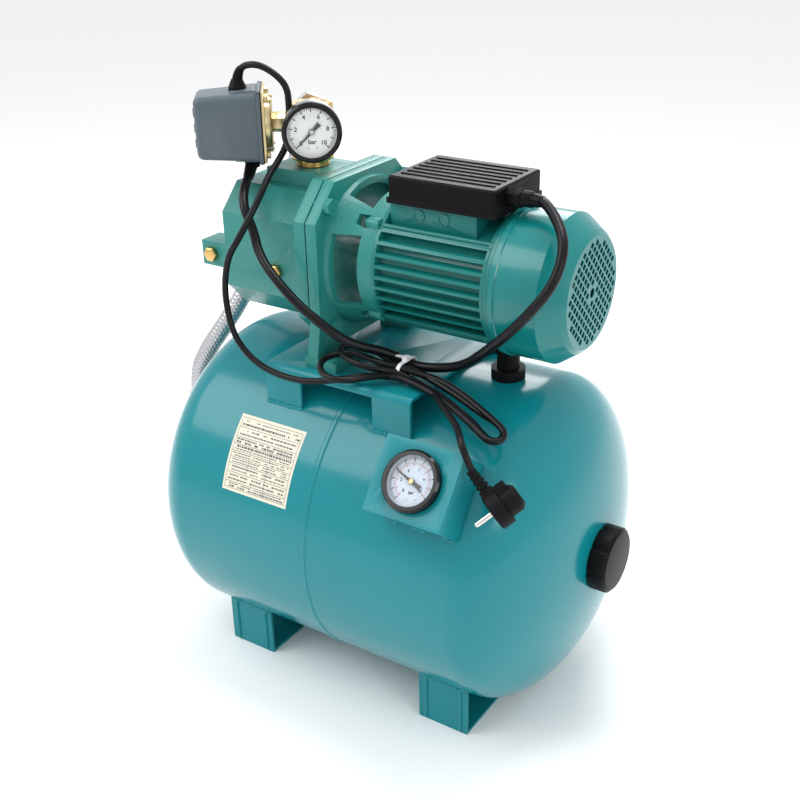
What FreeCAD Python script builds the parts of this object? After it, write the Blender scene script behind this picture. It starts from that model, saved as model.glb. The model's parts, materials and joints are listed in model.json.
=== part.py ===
"""Jet pump booster set: a self-priming centrifugal pump and its motor on a horizontal pressure tank.

Units are millimetres. +Z is up and +X runs along the tank and the motor shaft, towards the fan.
The origin lies on the floor, in the middle of the four foot holes and under the tank's seam.
"""
import FreeCAD, Part
import math
import os
from FreeCAD import Placement, Rotation, Vector

UP = Vector(0, 0, 1)
ALONG = Vector(1, 0, 0)
ACROSS = Vector(0, 1, 0)
ORIGIN = Vector(0, 0, 0)

# --- pressure tank -------------------------------------------------------------------------
tank_radius = 185.0
tank_wall = 2.0
tank_straight = 350.0
dish_depth = 85.0
tank_axis_z = 197.0
seam_width = 7.0
seam_height = 1.3
membrane_wall = 2.5
membrane_gap = 28.0
button_radius = 14.0

neck_radius = 54.0
neck_wall = 4.0
neck_length = 7.0
flange_radius = 75.0
flange_thickness = 6.0
flange_bolt_circle = 65.0
flange_bolt_count = 6
flange_bolt_radius = 4.0
counter_thickness = 4.5
port_radius = 15.15
port_boss_radius = 23.0
port_boss_length = 13.0
elbow_radius = 17.0
elbow_rise = 26.0
elbow_bore = 11.0

valve_radius = 6.0
valve_length = 20.0
cap_radius = 36.0
cap_depth = 20.0
cap_wall = 2.5
cap_lobes = 8

# --- feet and bracket ----------------------------------------------------------------------
foot_sheet = 3.0
foot_width = 62.0
foot_inset = 38.5
foot_depth = 250.0
foot_hole_spacing = 196.0
foot_hole_radius = 5.0
foot_rib_radius = 2.5

bracket_sheet = 4.0
bracket_length = 186.0
bracket_depth = 228.0
bracket_leg_width = 47.0
bracket_lip = 8.0
bracket_bend = 7.0
bracket_gap = 2.0

# --- pump ----------------------------------------------------------------------------------
shaft_height = 104.0
casing_length = 110.0
casing_half_width = 76.0
casing_half_height = 70.0
casing_chamfer = 28.0
casing_wall = 7.0
casing_flange_thickness = 14.0
flange_half_width = 92.0
flange_half_height = 88.0
flange_chamfer = 36.0
flange_bolt_inset = 22.0
casing_bolt_radius = 5.0
gasket_thickness = 1.5
casing_front_x = -170.0
partition_place = 24.0
partition_thickness = 6.0
suction_rise = 20.0
suction_length = 30.0
outlet_place = 69.0
pad_length = 78.0
pad_width = 64.0
pad_height = 15.0
lug_length = 34.0
lug_height = 28.0
lug_depth = 30.0
plug_across_flats = 15.0
plug_head = 6.0
drain_place = 70.0

lantern_flange = 13.0
lantern_length = 64.0
lantern_wall = 8.0
lantern_window_height = 76.0
lantern_window_margin = 5.0
pad_foot_length = 40.0
pad_foot_width = 58.0
pad_foot_thickness = 11.0

impeller_radius = 60.0
impeller_width = 11.0
impeller_gap = 1.5
diffuser_thickness = 13.0
nozzle_radius = 11.0
seal_radius = 15.0
seal_length = 9.0

# --- motor ---------------------------------------------------------------------------------
frame_bore = 56.0
frame_wall = 5.0
frame_length = 131.0
fin_height = 10.0
fin_pitch = 11.5
fin_thickness = 3.2
fin_count = 4
motor_ring = 14.0
rod_rise = 8.0
rod_radius = 2.5
rod_nut = 8.0
lug_radius = 6.5
shield_thickness = 9.0
stator_length = 70.0
stator_bore = 33.0
rotor_air_gap = 0.5
winding_length = 16.0
shaft_radius = 8.5
shaft_pump_radius = 6.0
shaft_rotor_radius = 11.0
running_clearance = 0.05
front_bearing_radius = 20.0
rear_bearing_radius = 17.5
bearing_width = 12.0
fan_radius = 60.0
fan_hub_radius = 16.0
fan_width = 24.0
fan_blades = 8
cover_step = 4.8
cover_wall = 1.4
cover_length = 74.0
cover_taper = 13.8
cover_shoulder = 24.0
cover_rim = 5.0
grille_radius = 54.0
grille_pitch = 11.0
grille_hole = 8.0
foot_disc_radius = 18.0
foot_neck_radius = 12.0
foot_disc_height = 11.0

terminal_base_half = 40.0
terminal_base_length = 100.0
terminal_rise = 17.0
box_length = 122.0
box_half_width = 47.5
box_height = 28.0
box_wall = 2.5
box_start = 8.0
box_ribs = 7
gland_radius = 10.0
gland_length = 26.0
gland_y = -20.0
gland_rise = 17.0

# --- fittings on the outlet ----------------------------------------------------------------
fitting_turn = 38.0
fitting_radius = 19.0
fitting_height = 66.0
fitting_across_flats = 41.0
fitting_collar = 14.0
fitting_port_z = 47.0
thread_radius = 16.6
thread_length = 13.0
small_port_radius = 10.0
small_port_length = 8.0
hose_port_length = 26.0
nipple_radius = 5.0
nipple_nut = 19.0
nipple_nut_length = 14.0

switch_length = 70.0
switch_half_height = 36.5
switch_half_width = 30.0
switch_taper = 4.0
switch_wall = 2.5
switch_corner = 7.0
base_thickness = 3.0
diaphragm_radius = 27.0
diaphragm_thickness = 7.0
lever_clearance = 1.0
switch_gland_radius = 9.5
switch_gland_height = 12.0
cord_gland_place = 24.0
cable_gland_place = 14.0

# --- gauges --------------------------------------------------------------------------------
gauge_radius = 31.0
gauge_case_radius = 29.0
gauge_depth = 22.0
gauge_bezel_depth = 8.0
gauge_window_radius = 25.5
gauge_wall = 1.5
gauge_glass = 1.5
gauge_dial_thickness = 0.8
gauge_stem_radius = 6.0
gauge_stem_length = 12.0
needle_length = 21.0
needle_tail = 9.0
needle_thickness = 0.6
needle_hub_radius = 3.0
needle_pin_radius = 0.8
needle_pin_clearance = 0.06
needle_zero = 135.0
top_gauge_reach = 52.0
tank_needle_turn = 57.0
tank_gauge_roll = 13.0

housing_width = 88.0
housing_height = 79.0
housing_sheet = 2.0
housing_x = 136.0
housing_angle = 38.7
housing_stand = 42.0

plate_width = 88.0
plate_angle = 26.5
plate_start_angle = 18.5
plate_x = -71.0
plate_thickness = 0.3

# --- hose, cables and plug -----------------------------------------------------------------
hose_radius = 11.5
hose_nut = 36.0
hose_nut_length = 12.0
ferrule_radius = 14.0
ferrule_length = 19.0
power_cable_radius = 5.0
plug_cord_radius = 3.5
tie_width = 4.0
tie_thickness = 1.3
plug_disc_radius = 18.5
plug_disc_thickness = 14.0
plug_body_radius = 14.0
plug_body_length = 17.0
pin_radius = 2.4
pin_length = 19.0
pin_spacing = 19.0
relief_length = 26.0
plug_angle = 37.4
plug_past = 42.0
plug_stand = 24.0
plug_pin_way = Vector(-0.56, -0.60, -0.55)
plug_cord_way = Vector(0.74, -0.10, -0.66)
hank_radius = 8.0
hank_turn = 26.0
hank_tilt = 10.0
hank_loop_length = 80.0
hank_loop_width = 58.0

# --- places that follow from the sizes above -----------------------------------------------
half_straight = tank_straight / 2
foot_spacing = tank_straight - 2 * foot_inset
tank_axis = Vector(0, 0, tank_axis_z)
plate_top = tank_axis_z + tank_radius + bracket_gap + bracket_sheet
shaft_z = plate_top + shaft_height
casing_back_x = casing_front_x + casing_length
casing_face_x = casing_back_x + casing_flange_thickness
lantern_x = casing_face_x + gasket_thickness
motor_x = lantern_x + lantern_length
frame_end_x = motor_x + frame_length
cover_x = frame_end_x + shield_thickness - 1.0
cover_end_x = cover_x + cover_length
outlet_x = casing_front_x + outlet_place
pad_top = shaft_z + casing_half_height + pad_height
suction_z = shaft_z + suction_rise
fin_tip_radius = frame_bore + frame_wall + fin_height
rod_circle = frame_bore + frame_wall + rod_rise
cover_radius = fin_tip_radius + cover_step
cover_end_radius = cover_radius - cover_taper
box_z = shaft_z + frame_bore + terminal_rise
box_x = motor_x + box_start
impeller_x = casing_face_x - impeller_gap - impeller_width
diffuser_x = impeller_x - impeller_gap - diffuser_thickness
port_z = pad_top + fitting_port_z
base_face = -(fitting_radius + small_port_length + nipple_nut_length + diaphragm_thickness + base_thickness)
fitting_frame = Placement(Vector(outlet_x, 0, 0), Rotation(UP, fitting_turn))
gland_stations = ((1, plug_cord_radius, cord_gland_place), (-1, power_cable_radius, cable_gland_place))


def save(name, shape):
    """Write one sub-part to its own file."""
    shape.exportStep("parts/" + name + ".step")


def fused(shapes):
    """Join overlapping shapes into one piece with clean faces."""
    return shapes[0].multiFuse(shapes[1:]).removeSplitter()


def box(x, y, z):
    """A block from its low and high value along each axis."""
    return Part.makeBox(x[1] - x[0], y[1] - y[0], z[1] - z[0], Vector(x[0], y[0], z[0]))


def rod(radius, start, end):
    """A round bar from one point to another."""
    run = end.sub(start)
    return Part.makeCylinder(radius, run.Length, start, run)


def polygon_bar(points, start, run):
    """Extrude a flat outline, given as vectors, from a start along a run."""
    face = Part.Face(Part.makePolygon([start.add(point) for point in points + points[:1]]))
    return face.extrude(run)


def hexagon_bar(across_flats, start, end):
    """A hexagonal bar from one point to another."""
    run = end.sub(start)
    turn = Rotation(UP, run)
    corner = across_flats / math.sqrt(3)
    points = []
    for side in range(6):
        angle = math.radians(60 * side)
        points.append(turn.multVec(Vector(corner * math.cos(angle), corner * math.sin(angle), 0)))
    return polygon_bar(points, start, run)


def turned(outline, centre, direction):
    """Turn an outline of (distance along, radius) pairs about an axis through a centre."""
    points = [Vector(radius, 0, along) for along, radius in outline]
    face = Part.Face(Part.makePolygon(points + points[:1]))
    solid = face.revolve(ORIGIN, UP, 360)
    solid.Placement = Placement(centre, Rotation(UP, direction))
    return solid


def chamfered_outline(half_width, half_height, chamfer, z):
    """A rectangle with cut corners, in the plane across the shaft."""
    corners = []
    for y_sign, z_sign, order in ((1, 1, 0), (-1, 1, 1), (-1, -1, 0), (1, -1, 1)):
        upright = Vector(0, y_sign * half_width, z + z_sign * (half_height - chamfer))
        level = Vector(0, y_sign * (half_width - chamfer), z + z_sign * half_height)
        corners += [level, upright] if order else [upright, level]
    return corners


def around(count, radius, first=0.0):
    """Points spread evenly on a circle in the plane across the shaft, about the origin."""
    angles = [math.radians(first + 360.0 * step / count) for step in range(count)]
    return [Vector(0, radius * math.sin(angle), radius * math.cos(angle)) for angle in angles]


# --- routes ----------------------------------------------------------------------------------
def tube(name, points, radius):
    """A round tube along straight runs joined by tangent arcs. It prints the arcs' radii."""
    corners = [Vector(*point) for point in points]
    edges = []
    radii = []
    length = 0.0
    start = corners[0]
    for before, corner, after in zip(corners, corners[1:], corners[2:]):
        arrive = corner.sub(before)
        leave = after.sub(corner)
        reach = 0.45 * min(arrive.Length, leave.Length)
        half_turn = arrive.getAngle(leave) / 2
        radii.append(reach / math.tan(half_turn))
        arrive.normalize()
        leave.normalize()
        arc_start = corner.sub(arrive * reach)
        arc_end = corner.add(leave * reach)
        towards = leave.sub(arrive).normalize()
        arc_middle = corner.add(towards * (radii[-1] * (1 / math.cos(half_turn) - 1)))
        edges.append(Part.LineSegment(start, arc_start).toShape())
        edges.append(Part.Arc(arc_start, arc_middle, arc_end).toShape())
        start = arc_end
    edges.append(Part.LineSegment(start, corners[-1]).toShape())
    path = Part.Wire(edges)
    first_run = corners[1].sub(corners[0])
    section = Part.Wire(Part.makeCircle(radius, corners[0], first_run))
    solid = path.makePipeShell([section], True, False)
    length = path.Length
    ratio = solid.Volume / (math.pi * radius ** 2 * length)
    shown = " ".join("%.0f" % value for value in radii)
    print("%s: length %.0f, diameter %.1f, volume ratio %.3f, radii %s"
          % (name, length, 2 * radius, ratio, shown))
    return solid


# --- pressure tank ---------------------------------------------------------------------------
def dome_arc(straight, radius, depth, opening):
    """The outline of a domed end, from its rim in to an opening's radius."""
    centre = Vector(straight, 0, 0)
    curve = Part.Ellipse(Vector(straight, 0, radius), Vector(straight + depth, 0, 0), centre)
    return Part.ArcOfEllipse(curve, 0, math.acos(opening / radius)).toShape()


def revolved(edges, lines):
    """Turn a closed outline of edges and straight lines about the X axis."""
    edges = edges + [Part.LineSegment(a, b).toShape() for a, b in lines]
    return Part.Face(Part.Wire(Part.sortEdges(edges)[0])).revolve(ORIGIN, ALONG, 360)


def dome(straight, radius, depth):
    """Half of a solid capsule: a cylinder from the origin along +X with a domed end."""
    nose = Vector(straight + depth, 0, 0)
    rim = Vector(straight, 0, radius)
    top = Vector(0, 0, radius)
    return revolved([dome_arc(straight, radius, depth, 0.0)], [(ORIGIN, nose), (rim, top), (top, ORIGIN)])


def vessel(straight, radius, depth, wall, opening):
    """Half of a thin vessel along +X, with an opening at its nose."""
    outer = dome_arc(straight, radius, depth, opening)
    inner = dome_arc(straight, radius - wall, depth - wall, opening)
    rim = Vector(straight, 0, radius)
    low_rim = Vector(straight, 0, radius - wall)
    top = Vector(0, 0, radius)
    low_top = Vector(0, 0, radius - wall)
    ends = (outer.Vertexes[1].Point, inner.Vertexes[1].Point)
    return revolved([outer, inner], [(rim, top), (top, low_top), (low_top, low_rim), ends])


def tank_envelope():
    """The tank's whole outer volume, for cutting what is welded onto it."""
    half = dome(half_straight, tank_radius, dish_depth)
    return half.fuse(half.mirror(ORIGIN, ALONG)).translated(tank_axis)


def dish_x(radius):
    """How far along the tank its outer skin reaches at a radius from its axis."""
    return half_straight + dish_depth * math.sqrt(1 - (radius / tank_radius) ** 2)


neck_face_x = -dish_x(neck_radius) - neck_length - flange_thickness
lip_x = neck_face_x - membrane_wall
counter_x = lip_x - counter_thickness
boss_x = counter_x - port_boss_length
elbow_x = boss_x - elbow_radius


def build_tank_shells():
    """The two pressed halves; the left one carries the welded neck and flange."""
    right = vessel(half_straight, tank_radius, dish_depth, tank_wall, valve_radius)
    left = vessel(half_straight, tank_radius, dish_depth, tank_wall, neck_radius)
    left = left.mirror(ORIGIN, ALONG)
    neck_start = -dish_x(neck_radius) + tank_wall + 2.0
    outline = [
        (neck_start, neck_radius - neck_wall), (neck_start, neck_radius),
        (neck_face_x + flange_thickness, neck_radius), (neck_face_x + flange_thickness, flange_radius),
        (neck_face_x, flange_radius), (neck_face_x, neck_radius - neck_wall),
    ]
    neck = turned(outline, ORIGIN, ALONG)
    for centre in around(flange_bolt_count, flange_bolt_circle):
        start = centre.add(Vector(neck_face_x, 0, 0))
        neck = neck.cut(rod(flange_bolt_radius, start, start.add(ALONG * flange_thickness)))
    left = fused([left, neck])
    half = seam_width / 2
    bead = turned([
        (-half, tank_radius), (-half / 2, tank_radius + seam_height),
        (half / 2, tank_radius + seam_height), (half, tank_radius)], ORIGIN, ALONG)
    save("tank_shell_left", left.translated(tank_axis))
    save("tank_shell_right", fused([right, bead]).translated(tank_axis))


def build_membrane():
    """The rubber bag inside the tank, hung from its lip in the flange."""
    radius = tank_radius - membrane_gap
    throat = neck_radius - neck_wall - 0.5
    back_depth = dish_depth - membrane_gap
    throat_end = -half_straight - back_depth * math.sqrt(1 - (throat / radius) ** 2)
    front_straight = half_straight - membrane_gap
    front = vessel(front_straight, radius, back_depth, membrane_wall, button_radius / 2)
    nose_x = front_straight + back_depth
    button = rod(button_radius, ALONG * (nose_x - 6), ALONG * (nose_x + 2))
    back = vessel(half_straight, radius, back_depth, membrane_wall, throat)
    back = back.mirror(ORIGIN, ALONG)
    outline = [
        (throat_end + 2 * membrane_wall, throat - membrane_wall), (throat_end + 2 * membrane_wall, throat),
        (neck_face_x, throat), (neck_face_x, flange_bolt_circle - 8.0),
        (lip_x, flange_bolt_circle - 8.0), (lip_x, throat - membrane_wall),
    ]
    bag = fused([front, back, button, turned(outline, ORIGIN, ALONG)])
    save("membrane", bag.translated(tank_axis))


def build_counter_flange():
    """The bolted plate that clamps the bag's lip, with its threaded port and its bolts."""
    outline = [
        (lip_x, port_radius), (lip_x, flange_radius), (counter_x, flange_radius),
        (counter_x, port_boss_radius), (boss_x, port_boss_radius), (boss_x, port_radius),
    ]
    plate = turned(outline, tank_axis, ALONG)
    bolts = []
    for centre in around(flange_bolt_count, flange_bolt_circle):
        middle = tank_axis.add(centre)
        outside = middle.add(Vector(counter_x, 0, 0))
        inside = middle.add(Vector(neck_face_x + flange_thickness, 0, 0))
        plate = plate.cut(rod(flange_bolt_radius, outside, inside))
        head = hexagon_bar(13.0, outside.sub(ALONG * 5.5), outside)
        nut = hexagon_bar(13.0, inside, inside.add(ALONG * 5.0))
        bolts.append(fused([head, rod(flange_bolt_radius, outside, inside), nut]))
    save("counter_flange", plate)
    save("flange_bolts", Part.makeCompound(bolts))


def build_tank_elbow():
    """The elbow that takes the hose up from the tank's port."""
    corner = tank_axis.add(Vector(elbow_x, 0, 0))
    inner = tank_axis.add(Vector(counter_x, 0, 0))
    top = corner.add(UP * elbow_rise)
    collar = hexagon_bar(36.0, tank_axis.add(Vector(boss_x, 0, 0)), tank_axis.add(Vector(boss_x - 7, 0, 0)))
    solid = fused([
        rod(port_radius, inner, tank_axis.add(Vector(boss_x, 0, 0))), collar,
        rod(elbow_radius, tank_axis.add(Vector(boss_x, 0, 0)), corner),
        Part.makeSphere(elbow_radius, corner), rod(elbow_radius, corner, top),
    ])
    way = fused([rod(elbow_bore, inner, corner), Part.makeSphere(elbow_bore, corner),
                 rod(elbow_bore, corner, top)])
    save("tank_elbow", solid.cut(way))


def build_air_valve():
    """The tank's charging valve and the cap that is pulled off to reach it."""
    nose_x = half_straight + dish_depth
    stem_end = nose_x + valve_length - cap_wall - 2.0
    outline = [
        (nose_x - 10, 0), (nose_x - 10, valve_radius), (nose_x + 0.5, valve_radius),
        (nose_x + 0.5, 12.0), (nose_x + 4.5, 12.0), (nose_x + 4.5, valve_radius - 1),
        (stem_end, valve_radius - 1), (stem_end, 0),
    ]
    save("air_valve", turned(outline, tank_axis, ALONG))
    rim_x = dish_x(cap_radius) + 0.5
    end_x = rim_x + cap_depth
    sleeve_x = nose_x + 8.0
    sleeve_bore = valve_radius - 1 + running_clearance
    cup = turned([
        (rim_x, cap_radius - cap_wall), (rim_x, cap_radius), (end_x - 3, cap_radius),
        (end_x, cap_radius - 4), (end_x, 0), (end_x - cap_wall, 0), (end_x - cap_wall, cap_radius - 5),
        (end_x - 4, cap_radius - cap_wall),
    ], tank_axis, ALONG)
    sleeve = turned([
        (sleeve_x, sleeve_bore), (sleeve_x, sleeve_bore + cap_wall),
        (end_x - cap_wall, sleeve_bore + cap_wall), (end_x - cap_wall, sleeve_bore),
    ], tank_axis, ALONG)
    cap = fused([cup, sleeve])
    for centre in around(cap_lobes, cap_radius + 5.0):
        start = tank_axis.add(centre).add(Vector(rim_x - 1, 0, 0))
        cap = cap.cut(rod(6.5, start, start.add(ALONG * (cap_depth + 2))))
    save("air_valve_cap", cap)


def build_feet(envelope):
    """Two strips, each bent into a U under the tank and welded to it."""
    half = foot_depth / 2
    top = tank_axis_z
    feet = []
    for side in (-1, 1):
        x = side * foot_spacing / 2
        span = (x - foot_width / 2, x + foot_width / 2)
        strip = box(span, (-half, half), (0, top))
        strip = strip.cut(box(span, (foot_sheet - half, half - foot_sheet), (foot_sheet, top)))
        ribs = []
        for y in (-half, half):
            for step in (-1, 1):
                start = Vector(x + step * (foot_width / 2 - 9), y, foot_sheet)
                ribs.append(rod(foot_rib_radius, start, start.add(UP * top)))
        strip = fused([strip] + ribs)
        strip = strip.cut(box(span, (foot_sheet - half, half - foot_sheet), (foot_sheet, 2 * top)))
        for y in (-foot_hole_spacing / 2, foot_hole_spacing / 2):
            strip = strip.cut(rod(foot_hole_radius, Vector(x, y, -1), Vector(x, y, foot_sheet + 1)))
        strip = strip.cut(envelope)
        solids = sorted(strip.Solids, key=lambda solid: solid.BoundBox.ZMin)
        feet.append(solids[0])
    save("tank_feet", Part.makeCompound(feet))


def lantern_bolt_places():
    """Where the pump's two feet are bolted to the bracket."""
    middle_x = lantern_x + lantern_flange + 11.5
    reach = flange_half_width - pad_foot_width / 2 + 8.0
    return [Vector(middle_x, side * reach, plate_top) for side in (-1, 1)]


def build_bracket(envelope):
    """The bent plate on the tank's crown that carries the pump on four short legs."""
    half_x = bracket_length / 2
    half_y = bracket_depth / 2
    outer = box((-half_x, half_x), (-half_y, half_y), (tank_axis_z, plate_top))
    folds = [edge for edge in outer.Edges if abs(edge.CenterOfMass.z - plate_top) < 1e-6
             and abs(abs(edge.CenterOfMass.y) - half_y) < 1e-6]
    outer = outer.makeFillet(bracket_bend, folds)
    inside = box((-half_x, half_x), (bracket_sheet - half_y, half_y - bracket_sheet),
                 (tank_axis_z, plate_top - bracket_sheet))
    folds = [edge for edge in inside.Edges if abs(edge.CenterOfMass.z - inside.BoundBox.ZMax) < 1e-6
             and abs(abs(edge.CenterOfMass.y) - inside.BoundBox.YMax) < 1e-6]
    inside = inside.makeFillet(bracket_bend - bracket_sheet, folds)
    plate = outer.cut(inside)
    gap = half_x - bracket_leg_width
    window = box((-gap, gap), (-half_y - 1, half_y + 1), (tank_axis_z, plate_top - bracket_lip))
    plate = plate.cut(window).cut(envelope)
    for place in lantern_bolt_places():
        for shift in (0, 80.0):
            centre = place.add(ALONG * shift)
            plate = plate.cut(rod(5.5, centre.sub(UP * 3 * bracket_sheet), centre.add(UP)))
    save("pump_bracket", plate)


# --- gauges ------------------------------------------------------------------------------------
def gauge_parts(reading):
    """A round gauge that looks along -Y about the origin; reading turns its needle from the top."""
    front = -gauge_bezel_depth
    glass_back = front + 0.8 + gauge_glass
    back = ORIGIN.add(ACROSS * gauge_depth)
    case = turned([
        (glass_back, gauge_case_radius - gauge_wall), (glass_back, gauge_case_radius),
        (gauge_depth, gauge_case_radius), (gauge_depth, 0), (gauge_depth - gauge_wall, 0),
        (gauge_depth - gauge_wall, gauge_case_radius - gauge_wall),
    ], ORIGIN, ACROSS)
    stem_end = back.add(ACROSS * gauge_stem_length)
    case = fused([case, rod(gauge_stem_radius, back, stem_end),
                  hexagon_bar(2 * gauge_stem_radius + 2, back, back.add(ACROSS * 3.0))])
    bezel = turned([
        (front, gauge_window_radius), (front, gauge_radius - 2), (front + 2, gauge_radius),
        (0, gauge_radius), (0, gauge_case_radius), (glass_back, gauge_case_radius),
        (glass_back - gauge_glass, gauge_case_radius), (glass_back - gauge_glass, gauge_window_radius),
    ], ORIGIN, ACROSS)
    glass = turned([
        (front + 0.8, 0), (front + 0.8, gauge_case_radius), (glass_back, gauge_case_radius),
        (glass_back, 0),
    ], ORIGIN, ACROSS)
    dial_back = 0.0
    dial_front = dial_back - gauge_dial_thickness
    pin_hole = needle_pin_radius + needle_pin_clearance
    dial = turned([
        (dial_front, pin_hole), (dial_front, gauge_case_radius - gauge_wall),
        (dial_back, gauge_case_radius - gauge_wall), (dial_back, pin_hole),
    ], ORIGIN, ACROSS)
    low = dial_front - 0.6
    outline = [Vector(-1.1, 0, 0), Vector(-0.35, 0, needle_length), Vector(0.35, 0, needle_length),
               Vector(1.1, 0, 0), Vector(2.2, 0, -needle_tail), Vector(-2.2, 0, -needle_tail)]
    blade = polygon_bar(outline, Vector(0, low - needle_thickness, 0), ACROSS * needle_thickness)
    hub = rod(needle_hub_radius, Vector(0, low - 2.2, 0), Vector(0, low, 0))
    pin = rod(needle_pin_radius, Vector(0, low, 0), Vector(0, dial_back + 3.0, 0))
    needle = fused([blade, hub, pin])
    needle.rotate(ORIGIN, ACROSS, -reading)
    return {"case": case, "bezel": bezel, "glass": glass, "dial": dial, "needle": needle}


def build_top_gauge():
    """The delivery pressure gauge in front of the outlet fitting."""
    place = Placement(Vector(0, -top_gauge_reach, port_z), Rotation())
    for name, shape in gauge_parts(needle_zero).items():
        shape.Placement = fitting_frame.multiply(place).multiply(shape.Placement)
        save("pump_gauge_" + name, shape)


def housing_frame():
    """The frame on the middle of the tank gauge's sloping face, looking out along -Y."""
    angle = math.radians(housing_angle)
    reach = tank_radius + housing_stand
    centre = tank_axis.add(Vector(housing_x, -reach * math.cos(angle), reach * math.sin(angle)))
    return Placement(centre, Rotation(ALONG, -housing_angle))


def build_tank_gauge(envelope):
    """The welded housing on the tank's flank and the gauge in it."""
    half_x = housing_width / 2
    half_z = housing_height / 2
    depth = housing_stand + 20.0
    shell = box((-half_x, half_x), (0, depth), (-half_z, half_z))
    inner_x = half_x - housing_sheet
    inner_z = half_z - housing_sheet
    shell = shell.cut(box((-inner_x, inner_x), (housing_sheet, depth), (-inner_z, inner_z)))
    shell = shell.cut(rod(gauge_case_radius, Vector(0, -1, 0), Vector(0, housing_sheet + 1, 0)))
    shell.Placement = housing_frame()
    shell = shell.cut(envelope)
    save("gauge_housing", sorted(shell.Solids, key=lambda solid: solid.Volume)[-1])
    parts = gauge_parts(tank_needle_turn)
    parts["case"] = fused([parts["case"], parts.pop("bezel")])
    roll = Placement(ORIGIN, Rotation(ACROSS, -tank_gauge_roll))
    for name, shape in parts.items():
        shape.Placement = housing_frame().multiply(roll).multiply(shape.Placement)
        save("tank_gauge_" + name, shape)


def build_nameplate():
    """The paper rating label, wrapped on the tank's flank."""
    half = plate_width / 2
    start = tank_axis.add(Vector(plate_x - half, 0, 0))
    outer = Part.makeCylinder(tank_radius + plate_thickness, plate_width, start, ALONG, plate_angle)
    inner = Part.makeCylinder(tank_radius, plate_width, start, ALONG, plate_angle)
    label = outer.cut(inner).Solids[0]
    target = math.radians(plate_start_angle + plate_angle / 2)
    middle = label.CenterOfMass.sub(start)
    now = math.atan2(middle.z, -middle.y)
    label.rotate(start, ALONG, math.degrees(now - target))
    save("nameplate", label)


# --- pump --------------------------------------------------------------------------------------
def build_casing():
    """The cast casing with its suction port, outlet pad, plug boss and flange."""
    outline = chamfered_outline(casing_half_width, casing_half_height, casing_chamfer, shaft_z)
    front = Vector(casing_front_x, 0, 0)
    body = polygon_bar(outline, front, ALONG * casing_length)
    flange_outline = chamfered_outline(flange_half_width, flange_half_height, flange_chamfer, shaft_z)
    flange = polygon_bar(flange_outline, Vector(casing_back_x, 0, 0), ALONG * casing_flange_thickness)
    pad = box((outlet_x - pad_length / 2, outlet_x + pad_length / 2), (-pad_width / 2, pad_width / 2),
              (shaft_z, pad_top))
    suction = Vector(casing_front_x - suction_length, 0, suction_z)
    boss = hexagon_bar(46.0, suction, suction.add(ALONG * (suction_length + casing_wall)))
    lug_z = (shaft_z - lug_height / 2 - 9.0, shaft_z + lug_height / 2 - 9.0)
    lug = box((casing_front_x - lug_length, casing_front_x + 1),
              (-casing_half_width, lug_depth - casing_half_width), lug_z)
    solid = fused([body, flange, pad, boss, lug])
    inner_chamfer = casing_chamfer - casing_wall / 2
    hollow_outline = chamfered_outline(casing_half_width - casing_wall, casing_half_height - casing_wall,
                                       inner_chamfer, shaft_z)
    cavity = polygon_bar(hollow_outline, front.add(ALONG * casing_wall),
                         ALONG * (casing_length + casing_flange_thickness - casing_wall))
    wall_x = casing_front_x + partition_place
    partition = box((wall_x, wall_x + partition_thickness), (-flange_half_width, flange_half_width),
                    (shaft_z - flange_half_height, shaft_z + flange_half_height))
    axis = Vector(wall_x, 0, shaft_z)
    partition = partition.cut(rod(nozzle_radius, axis, axis.add(ALONG * partition_thickness)))
    solid = solid.cut(cavity.cut(partition))
    solid = solid.cut(rod(port_radius, suction, suction.add(ALONG * (suction_length + casing_wall + 1))))
    outlet = Vector(outlet_x, 0, pad_top)
    solid = solid.cut(rod(thread_radius, outlet, outlet.sub(UP * (pad_height + casing_wall + 1))))
    for place in plug_places():
        solid = solid.cut(rod(plug_across_flats / 3, place, place.add(ACROSS * plug_head * 2)))
    for bolt in casing_bolt_places():
        end = bolt.add(ALONG * casing_flange_thickness)
        solid = solid.cut(rod(casing_bolt_radius, bolt, end))
    save("pump_casing", solid)


def plug_places():
    """The two small plug holes on the casing's front, seen from -Y."""
    lug_x = casing_front_x - 0.58 * lug_length
    y = -casing_half_width
    return [Vector(lug_x, y, shaft_z - 9.0), Vector(casing_front_x + drain_place, y, shaft_z - 14.0)]


def casing_bolt_places():
    """The four bolts through the casing's flange, at its back face."""
    y = flange_half_width - flange_bolt_inset
    z = flange_half_height - flange_bolt_inset
    return [Vector(casing_back_x, s * y, shaft_z + t * z) for s in (-1, 1) for t in (-1, 1)]


def build_plugs():
    """Brass hexagon plugs for priming and draining."""
    plugs = []
    for place in plug_places():
        head = hexagon_bar(plug_across_flats, place.sub(ACROSS * plug_head), place)
        head = head.makeChamfer(1.2, [e for e in head.Edges if e.CenterOfMass.y < place.y - plug_head + 0.1])
        plugs.append(fused([head, rod(plug_across_flats / 3, place, place.add(ACROSS * plug_head))]))
    save("casing_plugs", Part.makeCompound(plugs))


def build_gasket():
    """The sheet gasket between the casing and the lantern."""
    outline = chamfered_outline(flange_half_width - 1, flange_half_height - 1, flange_chamfer, shaft_z)
    gasket = polygon_bar(outline, Vector(casing_face_x, 0, 0), ALONG * gasket_thickness)
    axis = Vector(casing_face_x, 0, shaft_z)
    gasket = gasket.cut(rod(impeller_radius, axis, axis.add(ALONG * gasket_thickness)))
    for bolt in casing_bolt_places():
        start = Vector(casing_face_x, bolt.y, bolt.z)
        gasket = gasket.cut(rod(casing_bolt_radius, start, start.add(ALONG * gasket_thickness)))
    save("casing_gasket", gasket)


def rod_places(x):
    """The four tie rods' centres at a station along the motor."""
    return [place.add(Vector(x, 0, shaft_z)) for place in around(4, rod_circle, 45.0)]


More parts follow.
